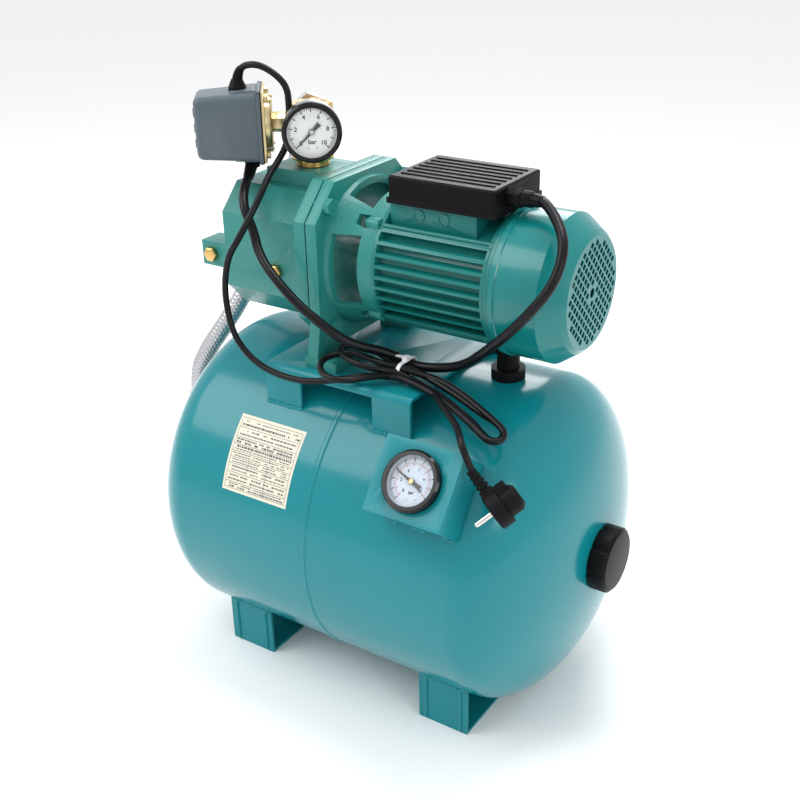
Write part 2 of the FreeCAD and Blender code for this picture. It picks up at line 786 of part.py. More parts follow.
def build_lantern():
    """The open cast frame between pump and motor, with its seal plate, bearing seat and feet."""
    axis = Vector(lantern_x, 0, shaft_z)
    outline = chamfered_outline(flange_half_width, flange_half_height, flange_chamfer, shaft_z)
    flange = polygon_bar(outline, Vector(lantern_x, 0, 0), ALONG * lantern_flange)
    ring_x = lantern_length - motor_ring
    cone = turned([
        (0, 0), (0, flange_half_height), (lantern_flange, flange_half_height - 6.0),
        (ring_x, fin_tip_radius), (lantern_length, fin_tip_radius), (lantern_length, 0),
    ], axis, ALONG)
    hollow = turned([
        (lantern_flange, 0), (lantern_flange, flange_half_height - 6.0 - lantern_wall),
        (ring_x, fin_tip_radius - lantern_wall), (ring_x, 0),
    ], axis, ALONG)
    body = fused([flange, cone]).cut(hollow)
    window_x = (lantern_x + lantern_flange + lantern_window_margin,
                lantern_x + ring_x - lantern_window_margin / 2)
    half = lantern_window_height / 2
    reach = flange_half_width + lantern_wall
    body = body.cut(box(window_x, (-reach, reach), (shaft_z - half, shaft_z + half)))
    body = body.cut(box(window_x, (-half, half), (shaft_z, shaft_z + reach)))
    body = body.cut(box(window_x, (-half, half), (shaft_z - reach, shaft_z)))
    hub = turned([
        (ring_x - 6, 0), (ring_x - 6, front_bearing_radius + 5), (lantern_length, front_bearing_radius + 5),
        (lantern_length, 0)], axis, ALONG)
    pieces = [body, hub]
    for place in rod_places(lantern_x + ring_x):
        pieces.append(rod(lug_radius, place, place.add(ALONG * motor_ring)))
    for side in (-1, 1):
        pieces += lantern_leg(side)
    body = fused(pieces)
    body = body.cut(rod(seal_radius, axis, axis.add(ALONG * seal_length)))
    body = body.cut(rod(shaft_radius + 1, axis, axis.add(ALONG * (lantern_length + 1))))
    seat = axis.add(ALONG * (lantern_length - bearing_width - 1))
    body = body.cut(rod(front_bearing_radius, seat, axis.add(ALONG * (lantern_length + 1))))
    spigot = turned([
        (lantern_length - 3, front_bearing_radius + 5), (lantern_length - 3, frame_bore),
        (lantern_length + 1, frame_bore), (lantern_length + 1, front_bearing_radius + 5)], axis, ALONG)
    body = body.cut(spigot)
    for place in rod_places(lantern_x + ring_x):
        body = body.cut(rod(rod_radius, place.sub(ALONG), place.add(ALONG * (motor_ring + 1))))
        body = body.cut(rod(rod_nut * 0.95, place.sub(ALONG * 12.0), place))
    for bolt in casing_bolt_places():
        start = Vector(lantern_x, bolt.y, bolt.z)
        body = body.cut(rod(casing_bolt_radius, start, start.add(ALONG * lantern_flange)))
    for place in lantern_bolt_places():
        body = body.cut(rod(4.5, place.sub(UP), place.add(UP * (pad_foot_thickness + 1))))
    save("motor_lantern", body)


def lantern_leg(side):
    """One cast leg, in the flange's plane, and the pad that it stands on."""
    outer = side * (flange_half_width + 8.0)
    inner = outer - side * pad_foot_width
    top = shaft_z - flange_half_height + flange_chamfer
    outline = [
        Vector(0, side * flange_half_width, top), Vector(0, outer, plate_top + pad_foot_thickness),
        Vector(0, outer, plate_top), Vector(0, inner, plate_top),
        Vector(0, inner, plate_top + pad_foot_thickness),
        Vector(0, side * (flange_half_width - flange_chamfer), shaft_z - flange_half_height + 6),
        Vector(0, side * (flange_half_width - flange_chamfer), top),
    ]
    leg = polygon_bar(outline, Vector(lantern_x, 0, 0), ALONG * lantern_flange)
    y = (min(inner, outer), max(inner, outer))
    x = (lantern_x - 4.0, lantern_x - 4.0 + pad_foot_length)
    return [leg, box(x, y, (plate_top, plate_top + pad_foot_thickness))]


def build_pump_bolts():
    """Hexagon bolts through the casing's flange and down through the feet."""
    bolts = []
    for place in casing_bolt_places():
        end = Vector(lantern_x + lantern_flange, place.y, place.z)
        head = hexagon_bar(16.0, end, end.add(ALONG * 7.0))
        bolts.append(fused([rod(casing_bolt_radius, place, end), head]))
    for place in lantern_bolt_places():
        seat = place.add(UP * pad_foot_thickness)
        end = place.sub(UP * (bracket_sheet + 1))
        bolts.append(fused([rod(4.5, end, seat), hexagon_bar(13.0, seat, seat.add(UP * 6.0))]))
    save("pump_bolts", Part.makeCompound(bolts))


def build_hydraulics():
    """Ejector, diffuser, impeller and shaft seal inside the pump."""
    wall_x = casing_front_x + partition_place
    axis = Vector(0, 0, shaft_z)
    nozzle_start = wall_x - 8.0
    ejector = turned([
        (nozzle_start, 7.0), (nozzle_start, nozzle_radius), (wall_x + partition_thickness, nozzle_radius),
        (wall_x + partition_thickness, nozzle_radius + 5), (wall_x + partition_thickness + 6, nozzle_radius + 5),
        (wall_x + 30, nozzle_radius), (diffuser_x, nozzle_radius + 7), (diffuser_x, nozzle_radius + 4),
        (wall_x + 30, nozzle_radius - 5)], axis, ALONG)
    save("jet_ejector", ejector)
    eye = nozzle_radius + 7
    diffuser = turned([
        (diffuser_x, eye), (diffuser_x, impeller_radius - 6), (diffuser_x + 6, impeller_radius + 2.5),
        (casing_face_x, impeller_radius + 2.5), (casing_face_x, impeller_radius + 1),
        (diffuser_x + diffuser_thickness, impeller_radius + 1), (diffuser_x + diffuser_thickness, eye)],
        axis, ALONG)
    collar = turned([(diffuser_x, eye - 7 + 4), (diffuser_x, eye), (diffuser_x + 3, eye),
                     (diffuser_x + 3, eye - 7 + 4)], axis, ALONG)
    save("diffuser", fused([diffuser, collar]))
    back = impeller_x + impeller_width
    shroud = turned([(impeller_x, 17.0), (impeller_x, impeller_radius), (impeller_x + 2, impeller_radius),
                     (impeller_x + 2, 17.0)], axis, ALONG)
    disc = turned([(back - 2.5, shaft_pump_radius), (back - 2.5, impeller_radius), (back, impeller_radius),
                   (back, shaft_pump_radius)], axis, ALONG)
    hub = turned([(impeller_x, shaft_pump_radius), (impeller_x, 12.0), (back, 12.0),
                  (back, shaft_pump_radius)], axis, ALONG)
    vanes = []
    for place in around(6, (impeller_radius + 16) / 2):
        vane = box((impeller_x + 1, back - 1), (-1.5, 1.5), (-(impeller_radius - 20) / 2, (impeller_radius - 20) / 2))
        vane.rotate(ORIGIN, ALONG, 55.0 - math.degrees(math.atan2(place.y, place.z)))
        vane.translate(place.add(axis))
        vanes.append(vane)
    save("impeller", fused([shroud, disc, hub] + vanes))
    seat = lantern_x
    seal = turned([
        (seat, shaft_radius - 1 + running_clearance), (seat, seal_radius),
        (seat + seal_length, seal_radius), (seat + seal_length, shaft_radius - 1 + running_clearance)],
        axis, ALONG)
    save("mechanical_seal", seal)


# --- motor -------------------------------------------------------------------------------------
def build_shaft():
    """The motor shaft, which carries the impeller, the rotor and the fan."""
    axis = Vector(0, 0, shaft_z)
    stator_x = motor_x + (frame_length - stator_length) / 2
    bearing_end = motor_x
    rear_seat = frame_end_x - 3.0
    shaft = turned([
        (impeller_x - 6, 0), (impeller_x - 6, shaft_pump_radius),
        (impeller_x + impeller_width, shaft_pump_radius),
        (impeller_x + impeller_width, shaft_radius - 1), (lantern_x + seal_length + 3, shaft_radius - 1),
        (lantern_x + seal_length + 3, shaft_radius), (bearing_end, shaft_radius),
        (bearing_end, shaft_rotor_radius), (rear_seat, shaft_rotor_radius), (rear_seat, shaft_radius - 1),
        (cover_x + 52, shaft_radius - 1), (cover_x + 52, 0)], axis, ALONG)
    save("motor_shaft", shaft)
    rotor = turned([
        (stator_x, shaft_rotor_radius), (stator_x, stator_bore - rotor_air_gap),
        (stator_x + stator_length, stator_bore - rotor_air_gap), (stator_x + stator_length, shaft_rotor_radius)],
        axis, ALONG)
    save("rotor_core", rotor)
    stator = turned([
        (stator_x, stator_bore), (stator_x, frame_bore), (stator_x + stator_length, frame_bore),
        (stator_x + stator_length, stator_bore)], axis, ALONG)
    save("stator_core", stator)
    coils = []
    for start in (stator_x - winding_length, stator_x + stator_length):
        coil = turned([
            (start, stator_bore + 3), (start, frame_bore - 7), (start + winding_length, frame_bore - 7),
            (start + winding_length, stator_bore + 3)], axis, ALONG)
        coils.append(coil.makeFillet(4.0, coil.Edges))
    save("stator_windings", Part.makeCompound(coils))
    bearings = []
    for start, inner, outer in (
            (lantern_x + lantern_length - bearing_width - 1, shaft_radius, front_bearing_radius),
            (rear_seat + 0.5, shaft_radius - 1, rear_bearing_radius)):
        bearings.append(turned([
            (start, inner + running_clearance), (start, outer), (start + bearing_width, outer),
            (start + bearing_width, inner + running_clearance)], axis, ALONG))
    save("motor_bearings", Part.makeCompound(bearings))


def build_motor_frame():
    """The finned aluminium frame with the flat seat for the terminal box."""
    axis = Vector(motor_x, 0, shaft_z)
    core = rod(frame_bore + frame_wall, axis, axis.add(ALONG * frame_length))
    tip = rod(fin_tip_radius, axis, axis.add(ALONG * frame_length))
    reach = fin_tip_radius + 1
    x = (motor_x + 4.0, frame_end_x - 4.0)
    half = fin_thickness / 2
    side_fins = []
    floor_fins = []
    for step in range(-fin_count, fin_count + 1):
        offset = step * fin_pitch
        side_fins.append(box(x, (-reach, reach), (shaft_z + offset - half, shaft_z + offset + half)))
        floor_fins.append(box(x, (offset - half, offset + half), (shaft_z - reach, shaft_z)))
    corner = reach * 1.05
    wedges = []
    for side in (-1, 1):
        wedges.append(polygon_bar(
            [Vector(0, 0, 0), Vector(0, side * corner, corner), Vector(0, side * corner, -corner)],
            axis, ALONG * frame_length))
    floor_wedge = polygon_bar(
        [Vector(0, 0, 0), Vector(0, corner, -corner), Vector(0, -corner, -corner)],
        axis, ALONG * frame_length)
    fins = [fin.common(wedge) for fin in side_fins for wedge in wedges]
    fins += [fin.common(floor_wedge) for fin in floor_fins]
    fins = [fin.common(tip) for fin in fins if fin.Volume > 1.0]
    ends = [tip.common(box((start, start + 4.0), (-reach, reach), (shaft_z - reach, shaft_z + reach)))
            for start in (motor_x, frame_end_x - 4.0)]
    base_x = (motor_x + 6.0, motor_x + 6.0 + terminal_base_length)
    base = box(base_x, (-terminal_base_half, terminal_base_half), (shaft_z, box_z))
    solid = fused([core, base] + fins + ends)
    for x_place in (0.34, 0.63):
        centre = Vector(base_x[0] + x_place * terminal_base_length, -terminal_base_half, box_z - 11.0)
        ring = rod(6.5, centre.sub(ACROSS * 1.5), centre.add(ACROSS * 2))
        solid = solid.fuse(ring).cut(rod(5.2, centre.sub(ACROSS * 2), centre.sub(ACROSS * 0.4)))
    pocket = box((base_x[0] + 8, base_x[1] - 8), (8 - terminal_base_half, terminal_base_half - 8),
                 (box_z - 8.0, box_z + 1))
    solid = solid.cut(pocket)
    solid = solid.cut(rod(frame_bore, axis.sub(ALONG), axis.add(ALONG * (frame_length + 1))))
    for place in rod_places(motor_x):
        solid = solid.cut(rod(rod_radius, place.sub(ALONG), place.add(ALONG * (frame_length + 1))))
    save("motor_frame", solid.removeSplitter())


def build_rear_shield():
    """The rear end shield with its bearing seat and the seat of the fan cover."""
    axis = Vector(frame_end_x, 0, shaft_z)
    seat = cover_radius - cover_wall
    shield = turned([
        (0, shaft_radius + 1), (0, fin_tip_radius), (2.0, fin_tip_radius), (2.0, seat),
        (shield_thickness, seat), (shield_thickness, rear_bearing_radius + 6),
        (shield_thickness + 3, rear_bearing_radius + 6), (shield_thickness + 3, shaft_radius + 1)],
        axis, ALONG)
    inner = turned([(-6, rear_bearing_radius), (-6, rear_bearing_radius + 6), (1, rear_bearing_radius + 6),
                    (1, rear_bearing_radius)], axis, ALONG)
    shield = fused([shield, inner])
    shield = shield.cut(rod(rear_bearing_radius, axis.sub(ALONG * 7), axis.add(ALONG * (bearing_width - 2.5))))
    for place in rod_places(frame_end_x):
        shield = shield.cut(rod(rod_radius, place.sub(ALONG), place.add(ALONG * (shield_thickness + 1))))
    save("rear_shield", shield)


def build_tie_rods():
    """Four long screws that clamp the frame between the lantern and the rear shield."""
    rods = []
    start_x = lantern_x + lantern_length - motor_ring
    end_x = frame_end_x + shield_thickness
    for start, end in zip(rod_places(start_x), rod_places(end_x)):
        nut = hexagon_bar(rod_nut, start.sub(ALONG * 4.0), start)
        head = rod(rod_nut / 2, end, end.add(ALONG * 3.5))
        rods.append(fused([rod(rod_radius, start, end), nut, head]))
    save("tie_rods", Part.makeCompound(rods))


def build_fan():
    """The plastic cooling fan on the shaft's tail."""
    axis = Vector(cover_x + 14.0, 0, shaft_z)
    hub = turned([(0, shaft_radius - 1), (0, fan_hub_radius), (fan_width, fan_hub_radius),
                  (fan_width, shaft_radius - 1)], axis, ALONG)
    disc = turned([(0, fan_hub_radius - 1), (0, fan_radius), (2.5, fan_radius), (2.5, fan_hub_radius - 1)],
                  axis, ALONG)
    blades = []
    for step in range(fan_blades):
        blade = box((1.0, fan_width), (-1.2, 1.2), (fan_hub_radius - 2, fan_radius))
        blade.rotate(ORIGIN, ALONG, 360.0 * step / fan_blades)
        blades.append(blade.translated(axis))
    save("cooling_fan", fused([hub, disc] + blades))


def build_fan_cover():
    """The sheet cover over the fan, with a rolled rim and a grille of diamond holes."""
    axis = Vector(cover_x, 0, shaft_z)
    shoulder = cover_length - cover_shoulder
    outside = [
        (0, cover_radius), (0, cover_radius + 1.2), (cover_rim, cover_radius + 1.2),
        (cover_rim + 1.2, cover_radius), (shoulder, cover_radius), (cover_length - 4, cover_end_radius),
        (cover_length, cover_end_radius - 5), (cover_length, 0)]
    inside = [
        (cover_length - cover_wall, 0), (cover_length - cover_wall, cover_end_radius - 5.5),
        (cover_length - 4.5, cover_end_radius - 1.6), (shoulder - 0.5, cover_radius - cover_wall),
        (0, cover_radius - cover_wall)]
    cover = turned(outside + inside, axis, ALONG)
    half = grille_hole / 2
    start_x = cover_end_x - 2 * cover_wall
    holes = []
    steps = int(grille_radius / grille_pitch) * 2 + 1
    for row in range(-steps, steps + 1):
        for column in range(-steps, steps + 1):
            if (row + column) % 2:
                continue
            y = column * grille_pitch / 2
            z = row * grille_pitch / 2
            reach = math.hypot(y, z)
            if reach > grille_radius - half or reach < grille_pitch * 0.9:
                continue
            diamond = [Vector(0, y + half, z), Vector(0, y, z + half), Vector(0, y - half, z),
                       Vector(0, y, z - half)]
            holes.append(polygon_bar(diamond, Vector(start_x, 0, shaft_z), ALONG * 3 * cover_wall))
    middle = Vector(start_x, 0, shaft_z)
    holes.append(rod(grille_pitch * 0.45, middle, middle.add(ALONG * 3 * cover_wall)))
    save("fan_cover", cover.cut(Part.makeCompound(holes)))


def build_motor_foot(envelope):
    """The rubber foot between the motor's tail and the tank's crown."""
    x = frame_end_x - 8.0
    bottom = tank_axis_z + tank_radius - 6.0
    top = shaft_z - fin_tip_radius + 1.0
    low = Vector(x, 0, bottom)
    mid = Vector(x, 0, tank_axis_z + tank_radius + foot_disc_height)
    high = Vector(x, 0, top - foot_disc_height)
    foot = fused([rod(foot_disc_radius, low, mid), rod(foot_neck_radius, mid.sub(UP), high.add(UP)),
                  rod(foot_disc_radius - 3, high, Vector(x, 0, top))])
    axis = Vector(motor_x, 0, shaft_z)
    shield = Vector(frame_end_x, 0, shaft_z)
    foot = foot.cut(envelope).cut(rod(fin_tip_radius, axis, shield))
    foot = foot.cut(rod(cover_radius, shield, shield.add(ALONG * foot_disc_radius)))
    save("motor_foot", foot)


def build_terminal_box():
    """The cover over the motor's terminals, with the block, capacitor and gland."""
    x = (box_x, box_x + box_length)
    y = (-box_half_width, box_half_width)
    top = box_z + box_height
    shell = box(x, y, (box_z, top))
    shell = shell.makeFillet(3.0, [e for e in shell.Edges if e.CenterOfMass.z > box_z + 1])
    lip = box((x[0] - 1.2, x[1] + 1.2), (y[0] - 1.2, y[1] + 1.2), (box_z, box_z + 6.0))
    ribs = []
    for step in range(box_ribs):
        place = y[0] + 14.0 + step * (2 * box_half_width - 28.0) / (box_ribs - 1)
        ribs.append(box((x[0] + 8, x[1] - 8), (place - 1.5, place + 1.5), (top - 1, top + 1.2)))
    cover = fused([shell, lip] + ribs)
    inside = box((x[0] + box_wall, x[1] - box_wall), (y[0] + box_wall, y[1] - box_wall),
                 (box_z, top - box_wall))
    gland_start = Vector(x[1] - box_wall, gland_y, box_z + gland_rise)
    gland_end = gland_start.add(ALONG * (box_wall + gland_length))
    cover = cover.cut(inside).cut(rod(power_cable_radius + 1, gland_start, gland_end))
    save("terminal_box_cover", cover)
    outer = Vector(x[1], gland_y, gland_start.z)
    nut_end = outer.add(ALONG * 15.0)
    gland = fused([rod(power_cable_radius + 1, gland_start, outer), hexagon_bar(2 * gland_radius - 2, outer, nut_end),
                   rod(gland_radius - 2, nut_end, gland_end)])
    gland = gland.cut(rod(power_cable_radius, gland_start.add(ALONG * 12), gland_end))
    save("box_gland", gland)
    floor = box_z - 8.0
    block = box((box_x + 14, box_x + 44), (-20, 20), (floor, floor + 16))
    for y_place in (-12, 0, 12):
        screw = Vector(box_x + 29, y_place, floor + 16)
        block = block.fuse(rod(3.5, screw, screw.add(UP * 3)))
    save("terminal_block", block)
    low = Vector(box_x + 48, 10, box_z + 9)
    can = rod(15.0, low, low.add(ALONG * 34))
    save("capacitor", can.makeFillet(2.0, [e for e in can.Edges if e.Length < 100 and e.Closed]))


# --- outlet fittings and pressure switch ---------------------------------------------------------
def in_fitting_frame(shape):
    """Turn a shape from the outlet fitting's own frame into the pump's frame."""
    shape.Placement = fitting_frame.multiply(shape.Placement)
    return shape


def build_fitting():
    """The brass five-way fitting on the pump's outlet."""
    low = Vector(0, 0, pad_top - thread_length)
    base = Vector(0, 0, pad_top + 6.0)
    top = Vector(0, 0, pad_top + fitting_height)
    port = Vector(0, 0, port_z)
    pieces = [
        rod(thread_radius, low, base), rod(fitting_radius, base, top),
        hexagon_bar(fitting_across_flats, top.sub(UP * fitting_collar), top),
        hexagon_bar(fitting_across_flats - 2, base, base.add(UP * 8.0)),
        rod(small_port_radius, port, port.sub(ACROSS * (fitting_radius + small_port_length))),
        rod(small_port_radius, port, port.sub(ALONG * (fitting_radius + small_port_length))),
        rod(thread_radius, port, port.add(ACROSS * (fitting_radius + hose_port_length))),
    ]
    for ring in range(3):
        start = low.add(UP * (thread_length + 0.6 + ring * 1.9))
        pieces.append(rod(thread_radius + 0.9, start, start.add(UP)))
    body = fused(pieces)
    body = body.cut(rod(elbow_bore, low, top.sub(UP * fitting_collar)))
    body = body.cut(rod(port_radius, top.sub(UP * (fitting_collar + 1)), top))
    body = body.cut(rod(elbow_bore, port, port.add(ACROSS * (fitting_radius + hose_port_length))))
    gauge_mouth = port.sub(ACROSS * (top_gauge_reach - gauge_depth - gauge_stem_length))
    gauge_port = port.sub(ACROSS * (fitting_radius + small_port_length))
    body = body.cut(rod(gauge_stem_radius, gauge_mouth, gauge_port))
    nipple_mouth = port.sub(ALONG * (fitting_radius - 4))
    nipple_port = port.sub(ALONG * (fitting_radius + small_port_length))
    body = body.cut(rod(nipple_radius, nipple_mouth, nipple_port))
    save("five_way_fitting", in_fitting_frame(body))


def build_switch():
    """The pressure switch: nipple, base with diaphragm, spring posts, lever, cover and glands."""
    port = Vector(0, 0, port_z)
    mouth = -(fitting_radius + small_port_length)
    nut_end = mouth - nipple_nut_length
    flange_back = nut_end
    base_back = flange_back - diaphragm_thickness
    nipple = fused([
        rod(nipple_radius, Vector(4 - fitting_radius, 0, port_z), Vector(mouth, 0, port_z)),
        hexagon_bar(nipple_nut, Vector(mouth, 0, port_z), Vector(nut_end, 0, port_z))])
    save("switch_nipple", in_fitting_frame(nipple))
    plate = box((base_face, base_back), (-switch_half_width, switch_half_width),
                (port_z - switch_half_height, port_z + switch_half_height))
    flange = rod(diaphragm_radius, Vector(base_back, 0, port_z), Vector(flange_back, 0, port_z))
    flange = flange.makeChamfer(2.0, [e for e in flange.Edges if e.Closed
                                      and e.CenterOfMass.x > flange_back - 0.1])
    pieces = [plate, flange]
    for y in (-11.0, 11.0):
        for z in (-27.0, 27.0):
            centre = Vector(base_back, y * 1.9, port_z + z * 1.1)
            pieces.append(hexagon_bar(7.0, centre, centre.add(ALONG * 4.0)))
    post_z = port_z + 14.0
    post = Vector(base_face, 0, post_z)
    pieces.append(rod(2.5, post, post.sub(ALONG * 48.0)))
    pieces.append(rod(9.0, post.sub(ALONG * 14.0), post.sub(ALONG * 40.0)))
    pieces.append(hexagon_bar(10.0, post.sub(ALONG * 40.0), post.sub(ALONG * 45.0)))
    pieces.append(box((base_face - 12.0, base_face), (-22.0, 22.0), (port_z - 32.0, port_z - 22.0)))
    save("switch_base", in_fitting_frame(fused(pieces)))
    lever_x = base_face - 4.0
    lever = box((lever_x - 3.0, lever_x), (-16.0, 16.0), (port_z - 18.0, port_z + 28.0))
    slot = rod(2.5 + lever_clearance, post.add(ALONG), post.sub(ALONG * 12.0))
    pivot = rod(2.0, Vector(lever_x - 1.5, -16.0, port_z - 18.0), Vector(lever_x - 1.5, 16.0, port_z - 18.0))
    save("switch_lever", in_fitting_frame(fused([lever.cut(slot), pivot])))
    save("switch_cover", in_fitting_frame(switch_cover()))
    glands = []
    for side, bore, place in gland_stations:
        taper = switch_taper * place / switch_length
        seat = Vector(base_face - place, 0, port_z + side * (switch_half_height - taper - 1.0))
        gland = turned([
            (0, bore), (0, switch_gland_radius), (4, switch_gland_radius),
            (switch_gland_height, bore + 2.5), (switch_gland_height, bore)], seat, UP * side)
        glands.append(gland.cut(switch_block(0.0, base_face - switch_length)))
    save("switch_glands", in_fitting_frame(Part.makeCompound(glands)))


def switch_block(inset, end):
    """The switch cover's tapered outline as a solid, drawn in by an inset."""
    sections = []
    for x, taper in ((base_face, 0.0), (end, switch_taper)):
        half_y = switch_half_width - taper - inset
        half_z = switch_half_height - taper - inset
        corners = [Vector(x, -half_y, port_z - half_z), Vector(x, half_y, port_z - half_z),
                   Vector(x, half_y, port_z + half_z), Vector(x, -half_y, port_z + half_z)]
        sections.append(Part.makePolygon(corners + corners[:1]))
    return Part.makeLoft(sections, True, True)


def switch_cover():
    """The switch's tapered cover, a hollow box that opens onto the base plate."""
    end = base_face - switch_length
    outer = switch_block(0.0, end)
    far = [edge for edge in outer.Edges if edge.CenterOfMass.x < base_face - 1]
    cover = outer.makeFillet(switch_corner, far).cut(switch_block(switch_wall, end + switch_wall))
    for side, bore, place in gland_stations:
        start = Vector(base_face - place, 0, port_z)
        cover = cover.cut(rod(bore, start, start.add(UP * side * (switch_half_height + 2))))
    return cover


# --- hose, cables and plug -----------------------------------------------------------------------
def spread(anchor, offsets):
    """Points given as offsets from one anchor."""
    return [anchor.add(Vector(*offset)) for offset in offsets]


def build_hose():
    """The braided hose from the outlet fitting down to the tank, with its nuts and ferrules."""
    outward = fitting_frame.Rotation.multVec(ACROSS)
    port = Vector(outlet_x, 0, port_z).add(outward * (fitting_radius + hose_port_length))
    elbow = Vector(elbow_x, 0, tank_axis_z + elbow_rise)
    start = port.add(outward * hose_nut_length)
    end = elbow.add(UP * hose_nut_length)
    over = spread(start.add(outward * 35.0), [(-16, 18, -8), (-30, 25, -34), (-37, 22, -68), (-45, 13, -108)])
    down = spread(end, [(85, 73, 239), (72, 54, 194), (58, 34, 151), (38, 16, 112), (15, 5, 77), (0, 0, 44)])
    points = [start, start.add(outward * 35.0)] + over + down + [end]
    save("hose", tube("hose", points, hose_radius))
    ends = []
    for seat, way in ((port, outward), (elbow, UP)):
        nut = hexagon_bar(hose_nut, seat, seat.add(way * hose_nut_length))
        mouth = seat.add(way * hose_nut_length)
        sleeve = rod(ferrule_radius, mouth, mouth.add(way * ferrule_length))
        ends.append(fused([nut, sleeve]).cut(rod(hose_radius, mouth, mouth.add(way * ferrule_length))))
    save("hose_ferrules", Part.makeCompound(ends))


def gland_end(station, depth):
    """A point inside one of the switch's glands, a depth in from its mouth."""
    side, bore, place = station
    taper = switch_taper * place / switch_length
    height = switch_half_height - taper - 1.0 + switch_gland_height - depth
    return fitting_frame.multVec(Vector(base_face - place, 0, port_z + side * height))


def around_cover(x_from_end, gap, angle):
    """A point outside the fan cover, at an angle below the vertical on the -Y side."""
    reach = cover_radius + gap
    turn = math.radians(angle)
    return Vector(cover_end_x + x_from_end, -reach * math.sin(turn), shaft_z + reach * math.cos(turn))


tie_place = Vector(60.0, -60.0, plate_top + 10.5)
hank_place = tie_place.add(Vector(0, -18, 0))
hank_tip = hank_place.add(Vector(134, -34, -21))


def build_power_cable():
    """The motor cable, from the terminal box round the fan cover and back up to the switch."""
    gland = Vector(box_x + box_length + gland_length, gland_y, box_z + gland_rise)
    corner = Vector(lantern_x, -flange_half_width, shaft_z)
    switch = gland_end(gland_stations[1], 0.0)
    points = spread(gland, [(-10, 0, 0), (6, -1, 0)])
    points += [around_cover(-40, 19, 16), around_cover(-19, 18, 28), around_cover(-3, 17, 41),
               around_cover(2, 16, 54), around_cover(-1, 17, 69), around_cover(-16, 20, 84),
               around_cover(-42, 20, 102), around_cover(-72, 21, 120), around_cover(-104, 25, 139)]
    points += spread(tie_place, [(32, -1, 4), (0, 0, 0), (-21, -8, 13)])
    points += spread(corner, [(56, -8, -66), (32, -22, -44), (4, -27, -24), (-25, -25, -2), (-51, -15, 15)])
    points += spread(switch, [(34, -56, -48), (19, -52, -28), (7, -33, -14), (1, -9, -5), (0, -1, 5)])
    save("power_cable", tube("power_cable", points, power_cable_radius))


def build_plug_cord():
    """The supply cord from the switch down to the tied hank, and its tail to the plug."""
    switch = gland_end(gland_stations[0], 0.0)
    fitting = Vector(outlet_x, 0, port_z)
    casing = Vector(casing_back_x, -casing_half_width, shaft_z)
    plate = Vector(0, -bracket_depth / 2, plate_top)
    points = spread(switch, [(0, 0, -6), (2, 0, 12), (14, 0, 24), (32, 3, 24), (48, 9, 11)])
    points += spread(fitting, [(-2, -34, 40), (-3, -32, 20), (-6, -29, 0), (-10, -31, -21), (-11, -46, -35)])
    points += spread(casing, [(-48, 8, 87), (-44, -14, 70), (-46, -31, 51), (-53, -42, 31), (-67, -43, 12),
                              (-75, -43, -14), (-75, -45, -41)])
    points += spread(plate, [(-126, -10, 31), (-109, -12, 13), (-86, -14, 2), (-60, -15, -2), (-34, -15, -2),
                             (-10, -13, 2), (14, -7, 8)])
    points += spread(hank_place, [(-24, -30, 2), (-8, -10, 0)])
    save("plug_cord", tube("plug_cord", points, plug_cord_radius))
    relief = plug_point(-relief_length - plug_disc_radius, 0.55 * plug_disc_thickness)
    leave = hank_place.add(Vector(46, -12, -5))
    tail = [leave] + spread(leave, [(18, -17, -2), (38, -32, -5), (57, -47, -9)])
    tail += [relief.add(Vector(-9, -2, 22)), relief]
    save("plug_cord_tail", tube("plug_cord_tail", tail, plug_cord_radius))


def build_hank():
    """The tied hank of spare cord, as one solid of its outer shape, and the tie round it."""
    spine = [hank_place.sub(ALONG * 14), hank_place] + spread(hank_place, [(45, -9, -3), (90, -20, -9)])
    spine.append(hank_tip)
    pieces = [Part.makeSphere(hank_radius, point) for point in spine]
    pieces += [rod(hank_radius, start, end) for start, end in zip(spine, spine[1:])]
    middle = Vector(-6 - hank_loop_length / 2, -2, -plug_cord_radius - 1)
    rim = Part.Ellipse(middle, hank_loop_length / 2, hank_loop_width / 2).toShape()
    lobe = Part.Face(Part.Wire(rim)).extrude(UP * 2 * (plug_cord_radius + 1))
    lobe = lobe.makeFillet(3.0, [edge for edge in lobe.Edges if edge.Closed])
    lobe.Placement = Placement(hank_place, Rotation(UP, hank_turn).multiply(Rotation(ACROSS, hank_tilt)))
    save("cord_hank", fused(pieces + [lobe]))
    gap = hank_place.sub(tie_place)
    inner = hank_radius + 0.3
    start = tie_place.sub(ALONG * tie_width / 2)
    shapes = []
    for reach in (inner + tie_thickness, inner):
        bar = fused([
            rod(reach, start, start.add(ALONG * tie_width)),
            rod(reach, start.add(gap), start.add(gap).add(ALONG * tie_width)),
            box((start.x, start.x + tie_width), (start.y + gap.y, start.y), (start.z - reach, start.z + reach))])
        shapes.append(bar)
    band = shapes[0].cut(shapes[1])
    head = start.add(gap / 2).add(UP * (inner + tie_thickness))
    latch = box((head.x - 1, head.x + tie_width + 1), (head.y - 3.5, head.y + 3.5), (head.z - 1, head.z + 4))
    tail = box((head.x - 16, head.x), (head.y - 1, head.y + 2.5), (head.z + 1.5, head.z + 2.8))
    save("cable_tie", fused([band, latch, tail]))


def plug_frame():
    """The plug's frame on the middle of its face: +X out along the pins, +Y away from the cord."""
    angle = math.radians(plug_angle)
    reach = tank_radius + plug_stand
    place = tank_axis.add(Vector(half_straight + plug_past, -reach * math.cos(angle), reach * math.sin(angle)))
    return Placement(place, Rotation(plug_pin_way, plug_cord_way, Vector(0, 0, 0), "XYZ"))


def plug_point(along_cord, behind):
    """A point on the plug, measured along its cord's line and back from its face."""
    return plug_frame().multVec(Vector(-behind, along_cord, 0))


